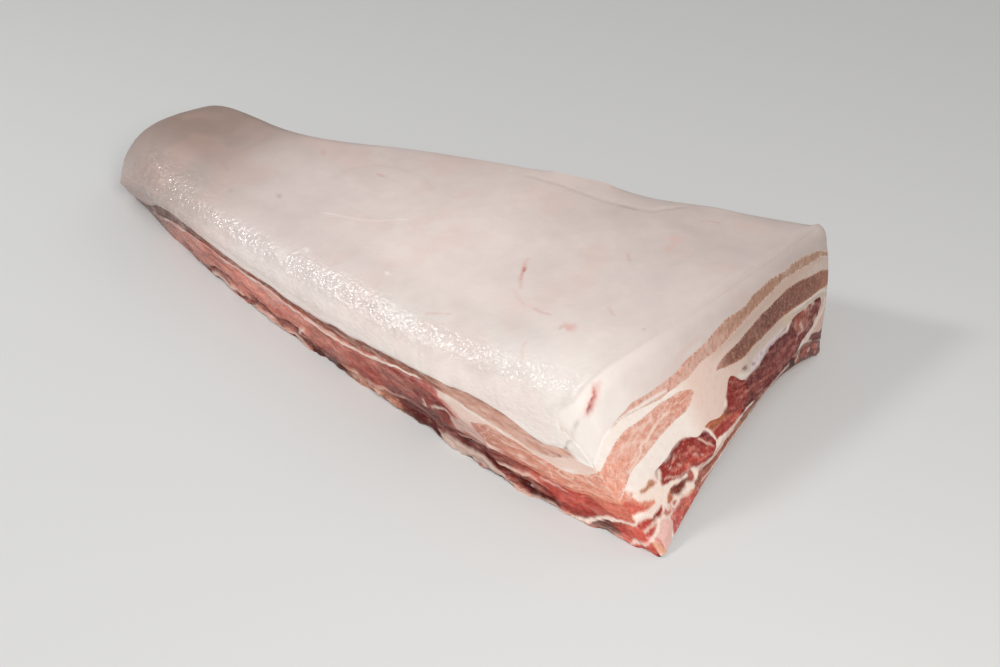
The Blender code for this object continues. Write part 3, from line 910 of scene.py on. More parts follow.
def fat_relief(skin):
    """Faint dents all over the fat, small curled puckers by the nose, and fine slanting creases
    along the near shoulder, with painted highlights on them where they stand up; wet and glossy
    along the shoulder."""
    s, t = skin.s, skin.t
    top = skin.top * ease(np.minimum(np.minimum(t, 1 - t) * WIDE, skin.to_face), 0.0, 7.0)
    skin.lift = top * (0.7 * noise(skin.spot, 40.0, 43, 2) + 0.16 * noise(skin.spot, 11.0, 44, 2))
    curls = np.maximum(1 - 4.0 * abs(noise(skin.spot * (0.8, 1.1, 1.0), 4.6, 45, 2)), -0.35)
    pucker = ease(0.32 - s, 0.0, 0.12) * ease(s, 0.07, 0.12) * (1 - ease(t, 0.16, 0.36))
    shoulder = ease(s, 0.24, 0.32) * (1 - ease(t, 0.05, 0.15))
    creases = noise(skin.spot @ PUCKER_TILT, 2.6, 49, 2)
    skin.lift += top * (0.34 * pucker * curls + 0.18 * shoulder * creases)
    # Painted highlights: the tint is lightened on the crests of the puckers and creases.
    skin.darken(-(0.13 * pucker * curls + 0.05 * shoulder * creases) * skin.top)
    wet = (1 - ease(t, 0.05, 0.16)) * (1 - ease(noise(skin.spot, 20.0, 48), 0.2, 0.9) * 0.6)
    wet = np.maximum(wet * (0.45 + 0.55 * ease(t, 0.0, 0.06)), 0.9 * pucker)
    skin.gloss = 0.12 + 0.88 * wet * ease(skin.to_face, 0.0, 12.0)


def fat_lip(skin):
    """The horn of fat at the far corner of the sawn face, and the lip: half a sine wave up the
    side, from nothing where the fat meets the lean to its full stand halfway up, and back. Below
    the lip on the near side the fat is painted darker as shade, and low on the sides at the nose
    it is painted dark brown, partly its own colour and partly painted shade."""
    s, t = skin.s, skin.t
    horn = np.exp(-(skin.to_face / HORN_LONG) ** 2 - ((1 - t) * WIDE / HORN_WIDE) ** 2)
    skin.spot[:, 2] += HORN_HIGH * horn * ease(skin.below, 3.0, 9.0)
    lip = np.sin(math.pi * np.clip(skin.below / LIP_HIGH, 0.0, 1.0)) * LIP_PROUD
    skin.lift += lip * skin.side * ease(skin.to_face, 6.0, 26.0)
    skin.lift += np.where(skin.side, skin.swell * 0.5 * ease(skin.to_face, 0.0, 8.0), 0.0)
    # Painted shade just below the lip on the near side.
    skin.mix(LIP_SHADE, 0.6 * (1 - ease(skin.below, 0.3, 3.0)) * skin.near * (1 - ease(s, 0.7, 0.85)))
    # Dark brown low on the sides at the nose: partly its own colour, partly painted shade.
    skin.mix(NOSE_SHADE_BROWN, 0.85 * skin.side * (1 - ease(skin.w, 0.42, 0.70)) * (t < 0.6)
             * (1 - ease(s, 0.08, 0.14)) * ease(s + 0.1 * t, 0.01, 0.05))


def fat_marks(skin):
    """Red nicks, pink bruises, grey veins and creases on the top, with painted shade along the long
    crease and in the groove by the far rim; the slit, and the thin line of painted shade along the
    crease under the near corner of the face, with its dark notch on the near side."""
    top = Wall(skin, "top", 0.6)
    nick = ((757, 500), (762, 475), (772, 440), (778, 415), (785, 395), (798, 365))
    top.stroke(PINK_MARK, 0.8, nick, 1.4, 0.0, 0.7)
    top.stroke(RED_MARK, 0.35, nick[1:5], 0.6, -0.2, 0.8)
    top.stroke(NICK_RED, 0.55, ((770, 458), (774, 437)), 0.5, -0.3)
    top.stroke(PINK_MARK, 0.5, ((790, 350), (800, 335), (825, 300), (850, 295)), 1.2, 0.0, 0.4)
    top.fill(PINK_MARK, (
        (895, 235), (897, 270), (912, 275), (918, 225)), 3.5, 0.0, 0.8, (5.0, 40, -0.6, 0.3))
    top.stroke(GREY_MARK, 0.3, ((898, 255), (900, 235)), 0.8, 0.0, 0.7)
    top.stroke(RED_MARK, 0.5, ((845, 293), (860, 287), (872, 285)), 1.0, 0.0, 0.45)
    top.stroke(RED_MARK, 0.4, ((912, 393), (930, 362)), 0.9, 0.0, 0.4)
    top.stroke(GREY_MARK, 0.3, ((977, 346), (981, 338)), 0.5, -0.1)
    top.fill(PINK_MARK, (
        (860, 800), (866, 730), (884, 695), (888, 720),
        (878, 790)), 4.0, 0.0, 0.38, (6.0, 39, -0.6, 0.3))
    top.stroke(RED_MARK, 0.4, ((848, 655), (852, 640), (862, 618)), 1.0, 0.0, 0.5)
    top.stroke(RED_MARK, 0.4, ((735, 112), (752, 135), (766, 150)), 1.1, 0.0, 0.35)
    top.stroke(PINK_MARK, 0.3, ((885, 155), (887, 130), (892, 110), (899, 100)), 0.6, -0.1, 0.8)
    top.stroke(RED_MARK, 0.8, ((437, 700), (452, 688)), 1.8, 0.0, 0.4)
    top.stroke(GREY_MARK, 1.0, ((371, 350), (379, 335)), 2.0, -0.15, 0.6)
    top.stroke(GREY_MARK, 0.6, ((300, 258), (303, 243)), 1.5, 0.0, 0.5)
    top.stroke(RED_MARK, 0.9, ((317, 790), (322, 775), (332, 745)), 2.4, 0.0, 0.25)
    top.stroke(GREY_MARK, 0.9, ((102, 430), (107, 400)), 2.0, -0.15, 0.6)
    # Painted shade along the long crease by the nose, sunk into it.
    crease = ((205, 860), (226, 780), (232, 650), (230, 540), (237, 445), (258, 390))
    top.stroke(GREY_MARK, 0.8, crease, 5.0, -0.5, 0.35)
    fold = ((455, 345), (480, 365), (510, 385), (540, 415), (555, 455), (570, 480))
    top.stroke(CREAM, 0.4, fold, 1.0, 0.25, 0.5)
    top.stroke(CREAM, 0.9, ((634, 192), (643, 187)), 1.2, 0.35, 0.8)
    top.stroke(CREAM, 0.8, ((492, 132), (502, 130)), 1.2, 0.3, 0.8)
    ring = ((400, 600), (395, 680), (410, 760), (450, 790), (500, 750), (530, 700))
    top.stroke(GREY_MARK, 0.8, ring, 4.0, -0.2, 0.12)
    # Painted shade in the groove by the far rim.
    groove = (
        (600, 935), (650, 925), (690, 905), (730, 895), (770, 890), (800, 898), (812, 930), (825, 965))
    top.stroke(GREY_MARK, 0.6, groove, 2.4, -0.9, 0.35)
    top.stroke(FAT_BROWN, 0.6, ((755, 888), (780, 885)), 1.4, 0.0, 0.45)
    near = Wall(skin, "near", 0.4)
    # Painted shade along the crease down the near side at the corner, and in its notch.
    near.stroke(GREY_MARK, 0.25, ((966, 775), (978, 840), (988, 895), (1000, 930)), 0.4, -0.25, 0.6)
    near.stroke(FAT_BROWN, 0.5, ((964, 765), (972, 800)), 0.6, -0.6, 0.8)
    top.stroke(RED_MARK, 0.4, ((865, 903), (890, 908)), 1.2, 0.0, 0.3)

    face = Wall(skin, "face", 0.6)
    # Painted shade along the same crease on the face.
    face.stroke(GREY_MARK, 0.2, ((0, 930), (16, 904), (31, 897), (46, 900)), 0.4, -0.2, 0.5)
    face.fill(PINK_MARK, ((35, 905), (75, 900), (120, 960), (100, 985), (60, 935)), 1.6, 0.0, 0.7)
    slit = ((40, 913), (62, 918), (78, 928), (96, 963))
    face.stroke(RED_MARK, 0.7, slit, 0.5, -0.7)
    face.stroke(SLIT_RED, 0.35, ((45, 914), (62, 919), (74, 926)), 0.35, -0.5)
    face.stroke(PINK_MARK, 0.6, ((350, 800), (400, 815), (460, 825)), 1.4, 0.0, 0.4)


def fat_cap_finish(skin):
    """Firm pale fat, wet along its near shoulder, with its lip, its nicks and its veins."""
    fat_colours(skin)
    fat_relief(skin)
    fat_lip(skin)
    # Painted shade over the far part of the sawn face, at half strength.
    skin.shade(0.12)
    fat_marks(skin)


firm_fat = tissue("fat_cap", dull=0.60, shiny=0.10, swell=0.10, grain=0.0009, stretch=0.8,
                  dimple=0.0024, bump=0.0012, coat=0.0, flecks=0.0, specular=0.9)
piece("fat_cap", cells_of(FAT_CAP), fat_cap_finish, firm_fat)


# ---------------------------------------------------------------------------
# Upper lean: the thin belly muscle under the fat cap. It is dried to a dark brown
# string along the near side, deepened there by painted shade under the fat's lip,
# widens to tan towards the near corner, and runs across the sawn face from two pale
# strands to a brown band.
# ---------------------------------------------------------------------------
TAN = paint(216, 168, 150)
PINK_TAN = paint(226, 178, 160)
BROWN_TAN = paint(178, 134, 112)
DARK_BROWN = paint(104, 64, 52)
STRING_BROWN = paint(150, 84, 66)
PALE_TAN = paint(208, 180, 164)
TAN_LIGHT = paint(240, 214, 200)
CREASE_TAN = paint(186, 120, 104)
FRAYED_TAN = paint(222, 198, 182)
UPPER_SLANT = np.array(((0.2, 0.0, 0.0), (0.0, 1.0, 0.3), (0.0, -0.7, 0.5)))


def upper_lean_finish(skin):
    """A sunken dark string on the near side, its brown partly painted shade under the fat's lip and
    darkest at the nose end, tan at the corner, and a slant-fibred band over the face that frays
    into the fat above and below it. Lines of painted shade run under the fat along both long sides."""
    # The dark browns at the nose end and along the near side are partly painted shade.
    side = along(skin.s, (0.0, 0.1, 0.2, 0.3, 0.6, 0.775, 0.79, 0.9, 1.0), (
        paint(96, 66, 54), paint(88, 54, 44), DARK_BROWN, STRING_BROWN, STRING_BROWN,
        paint(160, 104, 86), TAN, TAN, PINK_TAN))
    face = along(skin.t, (0.0, 0.35, 0.5, 0.6, 0.78, 0.82, 1.0), (
        paint(226, 168, 150), paint(226, 172, 154), TAN, paint(204, 154, 130), BROWN_TAN,
        paint(190, 152, 130), paint(190, 152, 130)))
    skin.tint = np.where(skin.face[:, None], face, side)
    far = skin.far & ~skin.face
    skin.tint[far] = along(skin.s, (0.0, 0.3, 1.0), (FAT_BROWN, STRING_BROWN, BROWN_TAN))[far]
    grain = np.where(skin.face, noise(skin.spot @ UPPER_SLANT, 1.6, 51),
                     noise(skin.spot * (0.2, 1.0, 1.0), 1.8, 52))
    skin.streak(TAN_LIGHT, STRING_BROWN, grain, 0.5)
    corner = np.where(skin.face, 1 - ease(skin.t, 0.06, 0.11),
                      ease(skin.s, 0.962, 0.982) * (skin.t < 0.1))
    skin.mix(CREAM, corner)
    skin.rim = np.where((skin.face | (skin.s > 0.8)) & (corner < 0.5), skin.rim, FAR_FROM_RIM)
    sunk = np.where(skin.s < 0.79, 0.9, 0.35) * ease(skin.s, 0.02, 0.1)
    grain *= 1 - corner
    skin.lift = skin.swell + np.where(skin.side, 0.2 * grain - sunk * (1 - corner), 0.08 * grain)
    skin.gloss = 0.5 + 0.3 * noise(skin.spot, 5.0, 54)

    face = Wall(skin, "face", 0.5)
    face.stroke(CREAM, 0.9, (
        (90, 735), (103, 733), (150, 715), (196, 694), (245, 680), (285, 668)), 0.8, 0.0, 0.8)
    face.fill(BROWN_TAN, (
        (520, 760), (600, 800), (680, 835), (750, 850), (790, 820), (750, 785), (680, 765),
        (600, 720)), 2.0, 0.0, 0.5)
    face.stroke(PALE_TAN, 0.8, ((330, 660), (400, 700), (460, 710), (520, 735)), 1.0, 0.0, 0.5)
    skin.shade()
    far = Wall(skin, "far", 1.4)
    # A line of painted shade under the fat along the far side.
    far.stroke(DARK_BROWN, 0.6, (
        (120, 780), (250, 785), (400, 790), (550, 800), (660, 820)), 1.0, -0.5, 0.6)
    far.stroke(PALE_TAN, 0.9, (
        (580, 800), (680, 815), (780, 815), (900, 825), (990, 820)), 1.0, 0.1, 0.6)
    near = Wall(skin, "near", 1.2)
    near.stroke(CREASE_TAN, 1.2, (
        (900, 700), (912, 630), (925, 600), (960, 660)), 1.2, 0.0, 0.6)
    # Lines of painted shade under the fat's lip along the near side.
    near.stroke(DARK_BROWN, 0.5, (
        (800, 900), (830, 955), (860, 910), (890, 885), (908, 860), (916, 750),
        (928, 715)), 0.8, -0.5, 0.6)
    near.stroke(DARK_BROWN, 0.6, (
        (150, 830), (220, 800), (280, 775), (350, 757), (413, 730), (490, 740), (560, 750), (620, 800),
        (700, 880), (765, 950)), 0.8, -0.4, 0.7)


thin_muscle = tissue("upper_lean", dull=0.50, shiny=0.26, swell=0.20, grain=0.0009, stretch=0.3,
                     dimple=0.0016, bump=0.00045, coat=0.05, flecks=0.5, fray=FRAYED_TAN)
piece("upper_lean", cells_of(UPPER_LEAN), upper_lean_finish, thin_muscle)


# ---------------------------------------------------------------------------
# Seam fat: the white fat between the lean layers, with the wedge in the middle of
# the sawn face, the glossy cord of fascia that shows along the near side, and the
# fork where it opens towards the wide end.
# ---------------------------------------------------------------------------
SEAM_WHITE = paint(250, 236, 226)
SEAM_PINK = paint(240, 212, 198)
SEAM_GREY = paint(222, 200, 186)
CORD = paint(244, 222, 208)
ROSE = paint(220, 136, 120)
STRAND_TAN = paint(196, 146, 130)
FAR_STREAK = paint(214, 164, 148)
FASCIA = paint(206, 170, 160)
FILM_EDGE = paint(196, 160, 150)
FILM_WHITE = paint(244, 226, 226)
FILM_VIOLET = paint(190, 168, 182)
VEIN_BROWN = paint(112, 68, 58)
VEIN_GREY = paint(140, 108, 116)
KNOB_YELLOW = paint(230, 202, 176)
SEAM_TAN = paint(214, 178, 160)
SEAM_ORANGE = paint(228, 146, 120)


def seam_fat_finish(skin):
    """White by the near corner, pinker in the wedge, greyer at the far side; along the near side
    rosy meat and fat in turn, with the cord proud of it."""
    skin.tint = along(skin.t, (0.0, 0.3, 0.38, 0.5, 0.6, 1.0),
                      (SEAM_WHITE, SEAM_WHITE, SEAM_PINK, SEAM_PINK, SEAM_GREY, SEAM_GREY))
    # Along the near side the dark browns at the nose end are partly painted shade.
    side = along(skin.s, (0.0, 0.08, 0.13, 0.2, 0.45, 0.52, 0.62, 0.76, 0.785, 1.0), (
        paint(96, 66, 54), paint(84, 50, 40), paint(164, 112, 98), paint(206, 140, 124), ROSE, ROSE,
        paint(200, 106, 94), paint(184, 88, 78), SEAM_PINK, SEAM_PINK))
    skin.tint[skin.near & ~skin.face] = side[skin.near & ~skin.face]
    stretch = np.where(skin.side[:, None], (0.25, 1.0, 1.0), 1.0)
    grain = noise(skin.spot * stretch, 2.4, 61)
    skin.streak(SEAM_WHITE, ROSE, grain, np.where(skin.near & (skin.s < 0.78), 0.55, 0.10))
    skin.lift = np.where(skin.side, skin.swell + 0.25 * grain, 0.05 * grain)
    skin.gloss = 0.55 + 0.3 * noise(skin.spot, 6.0, 62)

    flesh = along(skin.s, (0.81, 0.88, 0.94, 1.0), (
        paint(190, 116, 100), paint(206, 128, 108), paint(224, 140, 116), paint(230, 150, 124)))
    skin.mix(flesh, skin.near * (skin.layer == LOW_SEAM) * ease(skin.s, 0.81, 0.84))
    skin.mix(SEAM_ORANGE, skin.face * (skin.layer == LOW_SEAM)
             * (1 - ease(skin.t + 0.01 * grain, 0.015, 0.035)))

    near = Wall(skin, "near", 0.8)
    near.fill(SEAM_PINK, (
        (762, 700), (775, 860), (785, 900), (800, 840), (850, 760), (880, 680), (900, 560), (930, 530),
        (970, 620), (1000, 680), (1000, 600), (960, 560), (910, 480), (880, 480), (860, 580),
        (850, 650), (820, 670), (785, 660)), 0.8)
    near.stroke(SEAM_WHITE, 0.9, (
        (775, 720), (790, 800), (820, 760), (850, 720), (870, 620), (888, 500), (910, 495), (935, 520),
        (960, 580)), 0.8, 0.3)
    near.stroke(CORD, 0.75, (
        (461, 674), (478, 641), (497, 621), (534, 608), (556, 610), (585, 637), (609, 666), (632, 694),
        (669, 768), (702, 802), (730, 840), (753, 872), (776, 885)), 0.5, 0.9)
    near.stroke(CREAM, 0.7, ((130, 598), (155, 634), (177, 613), (213, 729), (250, 700)), 0.9, 0.4, 0.6)
    near.stroke(CREAM, 1.1, (
        (290, 700), (330, 690), (360, 665), (390, 700), (420, 660), (468, 660)), 1.0, 0.5, 0.55)
    near.fill(FASCIA, (
        (750, 450), (756, 523), (768, 531), (787, 562), (803, 545), (806, 460), (809, 400), (791, 384),
        (777, 407), (757, 381)), 0.7, 0.3)
    far = Wall(skin, "far", 1.6)
    far.fill(ROSE, (
        (100, 500), (200, 600), (330, 720), (330, 580), (200, 460),
        (100, 420)), 3.0, 0.0, 0.5, (9.0, 64, -0.2, 0.5))
    far.fill(FAR_STREAK, (
        (300, 760), (600, 790), (1000, 810), (1000, 460), (600, 460),
        (300, 450)), 2.0, 0.0, 0.55, (11.0, 65, 0.1, 0.6))
    for height in (520, 545, 715, 735):
        far.stroke(STRAND_TAN, 0.35, (
            (300, height - 30), (450, height), (600, height + 12), (800, height + 20),
            (970, height + 30)), 0.6, -0.15, 0.6)
    face = Wall(skin, "face", 0.6)
    face.fill(SEAM_PINK, (
        (360, 620), (470, 600), (490, 490), (600, 420), (460, 250), (360, 280)), 3.0, 0.0, 0.6)
    knobs = ((809, 482), (846, 503), (883, 506), (919, 521), (949, 533), (1000, 530))
    face.stroke(SEAM_WHITE, 1.3, knobs, 0.8, 0.2, 0.7)
    face.stroke(FILM_EDGE, 0.5, (
        (600, 425), (660, 440), (720, 460), (780, 475)), 1.0, -0.1, 0.4)
    # The film's white and violet are partly its own colour and partly painted sheen.
    face.fill(FILM_WHITE, (
        (595, 290), (607, 345), (640, 375), (690, 390), (750, 398), (800, 415), (815, 400), (810, 330),
        (650, 290)), 1.2, 0.2, 0.9)
    face.fill(FILM_VIOLET, (
        (600, 300), (610, 340), (660, 370), (730, 370), (800, 420), (810, 360), (700, 330),
        (640, 300)), 1.2, 0.0, 0.75, (4.0, 113, -0.15, 0.4))
    face.fill(SEAM_WHITE, (
        (540, 380), (556, 362), (602, 295), (585, 280), (550, 310), (540, 350)), 0.9, 0.3, 0.8)
    face.fill(VEIN_BROWN, (
        (567, 372), (579, 381), (594, 360), (589, 342), (576, 350)), 0.8, -0.7, 0.9)
    face.stroke(VEIN_GREY, 0.6, ((612, 348), (628, 325)), 0.6, -0.3, 0.8)
    face.stroke(VEIN_GREY, 0.6, ((684, 345), (692, 335)), 0.6, -0.3, 0.8)
    face.fill(KNOB_YELLOW, (
        (770, 480), (800, 510), (840, 500), (820, 440), (780, 430)), 1.5, 0.0, 0.7)
    face.fill(SEAM_TAN, (
        (460, 620), (600, 640), (800, 700), (980, 780), (980, 840), (800, 800), (620, 680),
        (500, 680)), 2.0, 0.0, 0.5)
    skin.shade()


far_cells = cells_of(MIDDLE_LEAN, rows=(FAR_LEAN[0], 1.0), columns=(FAR_LEAN[1], 1.0))
near_cells = cells_of(MIDDLE_LEAN, rows=(NEAR_LEAN[0], 1.0), columns=(0.0, NEAR_LEAN[1]))
seam_cells = cells_of(LOW_SEAM, MIDDLE_LEAN, HIGH_SEAM) & ~far_cells & ~near_cells
soft_fat = tissue("seam_fat", dull=0.46, shiny=0.22, swell=0.22, grain=0.0010, stretch=0.35,
                  dimple=0.0018, bump=0.00045, coat=0.05, flecks=0.15)
piece("seam_fat", seam_cells, seam_fat_finish, soft_fat)


# ---------------------------------------------------------------------------
# Middle lean, far half: a brown belly muscle that runs the length of the slab inside
# the seam fat. The saw shows its blunt end beside the wedge of fat, and the knife its
# long edge on the far side.
# ---------------------------------------------------------------------------
BROWN = paint(148, 96, 80)
DULL_BROWN = paint(132, 84, 70)
ORANGE_BROWN = paint(180, 118, 88)
BROWN_LIGHT = paint(206, 160, 142)
BROWN_DARK = paint(92, 50, 42)
FRAYED_BROWN = paint(198, 162, 142)
MIDDLE_SLANT = np.array(((0.5, 0.0, 0.0), (0.0, 1.0, 0.35), (0.0, -0.5, 0.6)))


def middle_far_finish(skin):
    """Brown, more orange along the lower rim and at both ends, with fine slanting fibres."""
    skin.tint = along(skin.t, (0.0, 0.48, 0.53, 0.7, 0.93, 1.0),
                      (BROWN, BROWN_LIGHT, BROWN, DULL_BROWN, BROWN, ORANGE_BROWN))
    grain = noise(skin.spot @ MIDDLE_SLANT, 1.6, 71)
    skin.streak(BROWN_LIGHT, BROWN_DARK, grain, 0.38)
    skin.mix(BROWN_LIGHT, 0.35 * ease(noise(skin.spot, 2.2, 72), 0.5, 0.9))
    skin.mix(ORANGE_BROWN, 0.7 * (1 - ease(skin.below, 0.2, 2.2)))
    strand = noise(skin.spot * (0.15, 1.0, 1.0), 2.2, 75)
    skin.streak(BROWN_LIGHT, BROWN_DARK, strand, np.where(skin.far, 0.7, 0.0))
    skin.shade()
    skin.lift = skin.swell + np.where(skin.side, 0.2, 0.10) * grain
    skin.gloss = 0.45 + 0.25 * noise(skin.spot, 5.0, 74)


brown_muscle = tissue("middle_lean_far", dull=0.50, shiny=0.28, swell=0.22, grain=0.0009,
                      stretch=0.3, dimple=0.0016, bump=0.00045, coat=0.05, flecks=0.25,
                      fray=FRAYED_BROWN)
piece("middle_lean_far", far_cells, middle_far_finish, brown_muscle)


# ---------------------------------------------------------------------------
# Middle lean, near corner: a pink-tan muscle, finely marbled, that shows on the
# near side and on the sawn face and dies out bluntly beside the wedge of fat.
# ---------------------------------------------------------------------------
SALMON_DEEP = paint(204, 138, 116)
MARBLE = paint(250, 224, 208)


def middle_near_finish(skin):
    """Pink-tan with fine marbling, more orange towards the corner, and one long fibre line."""
    skin.tint = along(skin.t, (0.0, 0.08, 0.2, 0.37), (
        paint(232, 156, 132), paint(232, 166, 146), paint(226, 160, 140), paint(220, 152, 130)))
    side = skin.near & ~skin.face
    skin.tint[side] = along(skin.s, (0.79, 0.86, 0.93, 1.0), (
        paint(196, 134, 116), paint(210, 142, 122), paint(226, 150, 126), paint(232, 156, 132)))[side]
    stretch = np.where(skin.face[:, None], (1.0, 0.5, 1.0), (0.25, 1.0, 1.0))
    grain = noise(skin.spot * stretch, 1.5, 81)
    skin.streak(MARBLE, SALMON_DEEP, grain, 0.65)
    veins = 1 - abs(noise(skin.spot * stretch, 4.0, 82, 2)) * 7
    skin.mix(MARBLE, 0.55 * ease(veins, 0.2, 0.9))
    skin.lift = skin.swell + np.where(skin.side, 0.3, 0.10) * grain
    skin.rim = np.where(skin.near, skin.above, skin.rim)
    skin.gloss = 0.5 + 0.3 * noise(skin.spot, 5.0, 84)
    face = Wall(skin, "face", 0.6)
    face.stroke(MARBLE, 0.6, (
        (50, 485), (99, 489), (126, 524), (156, 519), (171, 535), (221, 552),
        (270, 548)), 0.5, 0.1, 0.8)
    face.stroke(MARBLE, 0.6, ((20, 620), (80, 605), (140, 610), (200, 590)), 0.6, 0.1, 0.5)


tan_muscle = tissue("middle_lean_near", dull=0.46, shiny=0.24, swell=0.16, grain=0.0009,
                    stretch=0.35, dimple=0.0016, bump=0.00050, coat=0.06, flecks=0.6, fray=SEAM_PINK)
piece("middle_lean_near", near_cells, middle_near_finish, tan_muscle)


# ---------------------------------------------------------------------------
# Deep lean: the red meat over and between the ribs. The saw has cut it into dark
# muscles with white fascia between, small hollows, and one vein; along the near
# side it is torn, salmon to dark red, with sinew and creases.
# ---------------------------------------------------------------------------
DEEP_RED = paint(150, 50, 44)
WINE = paint(108, 36, 36)
RED = paint(188, 72, 60)
BRIGHT_RED = paint(204, 88, 76)
SALMON = paint(224, 136, 118)
ORANGE = paint(224, 134, 108)
ORANGE_LEAN = paint(186, 104, 72)
SINEW = paint(250, 228, 214)
SINEW_PINK = paint(234, 196, 180)
VIOLET = paint(192, 172, 178)
HOLLOW = paint(88, 42, 34)
TAN_LEAN = paint(196, 140, 112)
FLESH_LIGHT = paint(246, 180, 160)
FLESH_DARK = paint(84, 22, 18)
CREVICE_SHADE = paint(52, 12, 10)
GROUND_BROWN = paint(132, 54, 42)
STRING_RED = paint(190, 104, 92)
SCOOP_BROWN = paint(116, 46, 36)
SCOOP_RED = paint(176, 84, 72)
RIB_END_RED = paint(184, 66, 62)
YELLOW_SINEW = paint(236, 178, 132)
ORANGE_SINEW = paint(230, 150, 112)
ROSE_SINEW = paint(220, 120, 104)
PLUM = paint(110, 48, 52)
BAND_TAN = paint(158, 100, 84)
BAND_RED = paint(176, 76, 66)
BAND_BROWN = paint(120, 62, 48)
MARBLED_TAN = paint(186, 104, 84)
FOOT_BROWN = paint(112, 62, 52)
FOOT_RED = paint(168, 70, 60)
WET_HIGHLIGHT_PINK = paint(226, 180, 170)
SHADOW_RED = paint(150, 56, 48)
SHRED_TAN = paint(214, 168, 156)
CORNER_RED = paint(190, 70, 60)
FLAP = paint(218, 190, 176)
FLAP_SHADE = paint(120, 84, 76)
LOW_BROWN = paint(124, 44, 34)
SHRED_PALE = paint(214, 168, 154)
FACE_SLANT = np.array(((1.0, 0.0, 0.0), (0.0, 0.26, 0.28), (0.0, -0.07, 0.96)))


def sawn_corner(face):
    """Near corner: orange lean at the edge, the fascia that wraps the rib tip, red meat on both
    sides of it, and the dark scoop inwards of it."""
    face.fill(ORANGE, (
        (-10, 470), (8, 460), (21, 398), (34, 333), (78, 257), (76, 240), (53, 247), (27, 276),
        (-10, 330)), 0.7, 0.2)
    face.fill(BRIGHT_RED, (
        (-10, 420), (12, 380), (30, 320), (55, 262), (30, 285), (-10, 340)), 0.8, 0.1, 0.8)
    face.fill(TAN_LEAN, (
        (53, 362), (74, 352), (95, 345), (108, 328), (115, 299), (103, 292), (85, 315), (67, 332),
        (54, 342)), 0.6)
    face.stroke(ORANGE_LEAN, 0.4, ((62, 350), (85, 325), (105, 305)), 0.6, -0.2, 0.7)
    face.fill(RED, (
        (-10, 270), (30, 215), (45, 190), (68, 195), (90, 193), (87, 165), (60, 155),
        (-10, 130)), 0.6, 0.2)
    face.fill(FLESH_DARK, ((30, 192), (68, 188), (88, 188), (80, 170), (48, 166)), 0.6, -0.4, 0.7)
    face.stroke(SINEW, 1.1, ((-10, 285), (34, 248), (54, 238), (85, 228), (105, 224)), 0.5, 0.5)
    face.stroke(SINEW_PINK, 0.6, ((-10, 200), (30, 175), (60, 165)), 0.5, 0.3)
    face.fill(STRING_RED, (
        (83, 150), (100, 155), (115, 140), (146, 150), (150, 120), (120, 105),
        (85, 115)), 0.8, 0.0, 0.9, (3.0, 114, -0.3, 0.1))
    face.fill(ORANGE_LEAN, (
        (111, 167), (126, 190), (150, 194), (150, 165), (130, 150), (114, 152)), 0.6, -0.2)
    face.fill(SCOOP_BROWN, (
        (145, 192), (165, 190), (197, 168), (228, 140), (238, 125), (225, 108), (192, 118), (171, 125),
        (151, 142), (142, 165)), 0.8, -0.9)
    face.fill(SCOOP_RED, ((222, 165), (243, 168), (247, 110), (228, 102)), 0.8, 0.1)
    face.fill(RIB_END_RED, (
        (100, 100), (160, 104), (190, 75), (220, 45), (245, 0), (245, -50), (70, -50),
        (85, 50)), 0.8, 0.2, 0.9)
    face.stroke(YELLOW_SINEW, 0.6, ((163, 106), (190, 83), (215, 62)), 0.7, 0.2, 0.8)
    face.stroke(ORANGE_SINEW, 0.5, ((140, 72), (162, 55), (190, 30)), 0.8, 0.1, 0.7)
    face.stroke(ROSE_SINEW, 0.5, ((115, 85), (130, 62), (150, 45)), 0.8, 0.1, 0.7)
    face.stroke(SINEW, 1.3, ((162, 200), (180, 190), (200, 178)), 0.7, 0.5)
    face.stroke(SINEW, 1.7, ((202, 118), (214, 100), (230, 72)), 0.9, 0.4)


def sawn_near_muscle(face):
    """The round muscle of the near half: deep red with a brighter heart, marbled with salmon, dark
    along its lower rim, where the crevice is darkened with painted shade, and crossed by thin pale
    sinews and short salmon streaks of painted wet highlight."""
    face.fill(DEEP_RED, (
        (138, 362), (159, 353), (191, 342), (217, 354), (251, 353), (276, 329), (316, 290), (340, 259),
        (356, 232), (364, 195), (374, 138), (362, 104), (333, 92), (300, 108), (275, 128), (244, 163),
        (210, 187), (175, 214), (143, 238), (120, 263), (122, 290), (140, 318)), 0.5, 0.9)
    face.fill(RED, (
        (135, 290), (190, 270), (250, 230), (300, 200), (340, 160), (350, 120), (300, 130), (250, 170),
        (180, 220)), 2.0, 0.0, 0.75)
    face.fill(SALMON, (
        (130, 350), (250, 350), (360, 200), (340, 110),
        (220, 190)), 0.8, 0.1, 0.55, (3.0, 93, 0.25, 0.6))
    # Painted shade in the crevice along the lower rim.
    face.stroke(WINE, 0.6, ((190, 200), (244, 163), (275, 128), (300, 108), (333, 92)), 0.8, -0.4, 0.4)
    face.stroke(WINE, 1.0, ((122, 320), (140, 352), (190, 342), (215, 352), (250, 350)), 1.2, 0.0, 0.6)
    face.stroke(PLUM, 1.6, ((325, 262), (345, 232), (360, 190)), 1.2, 0.0, 0.7)
    for fleck in (((165, 300), (182, 285)), ((205, 270), (215, 245)), ((270, 215), (285, 200)),
                  ((195, 325), (210, 330)), ((300, 180), (310, 160))):
        face.stroke(SINEW_PINK, 0.4, fleck, 0.5, 0.25, 0.8)
    face.stroke(SINEW_PINK, 0.45, ((312, 266), (322, 235), (335, 192), (354, 134)), 0.4, 0.3)
    face.stroke(SINEW_PINK, 0.40, (
        (130, 285), (152, 264), (184, 220), (225, 188), (257, 160)), 0.4, 0.2, 0.7)
    # Painted wet highlights: short salmon streaks across the muscle.
    face.stroke(SALMON, 0.35, ((239, 271), (254, 258), (265, 243)), 0.4, 0.2)
    face.stroke(SALMON, 0.35, ((160, 325), (190, 310), (230, 315)), 0.4, 0.1, 0.7)


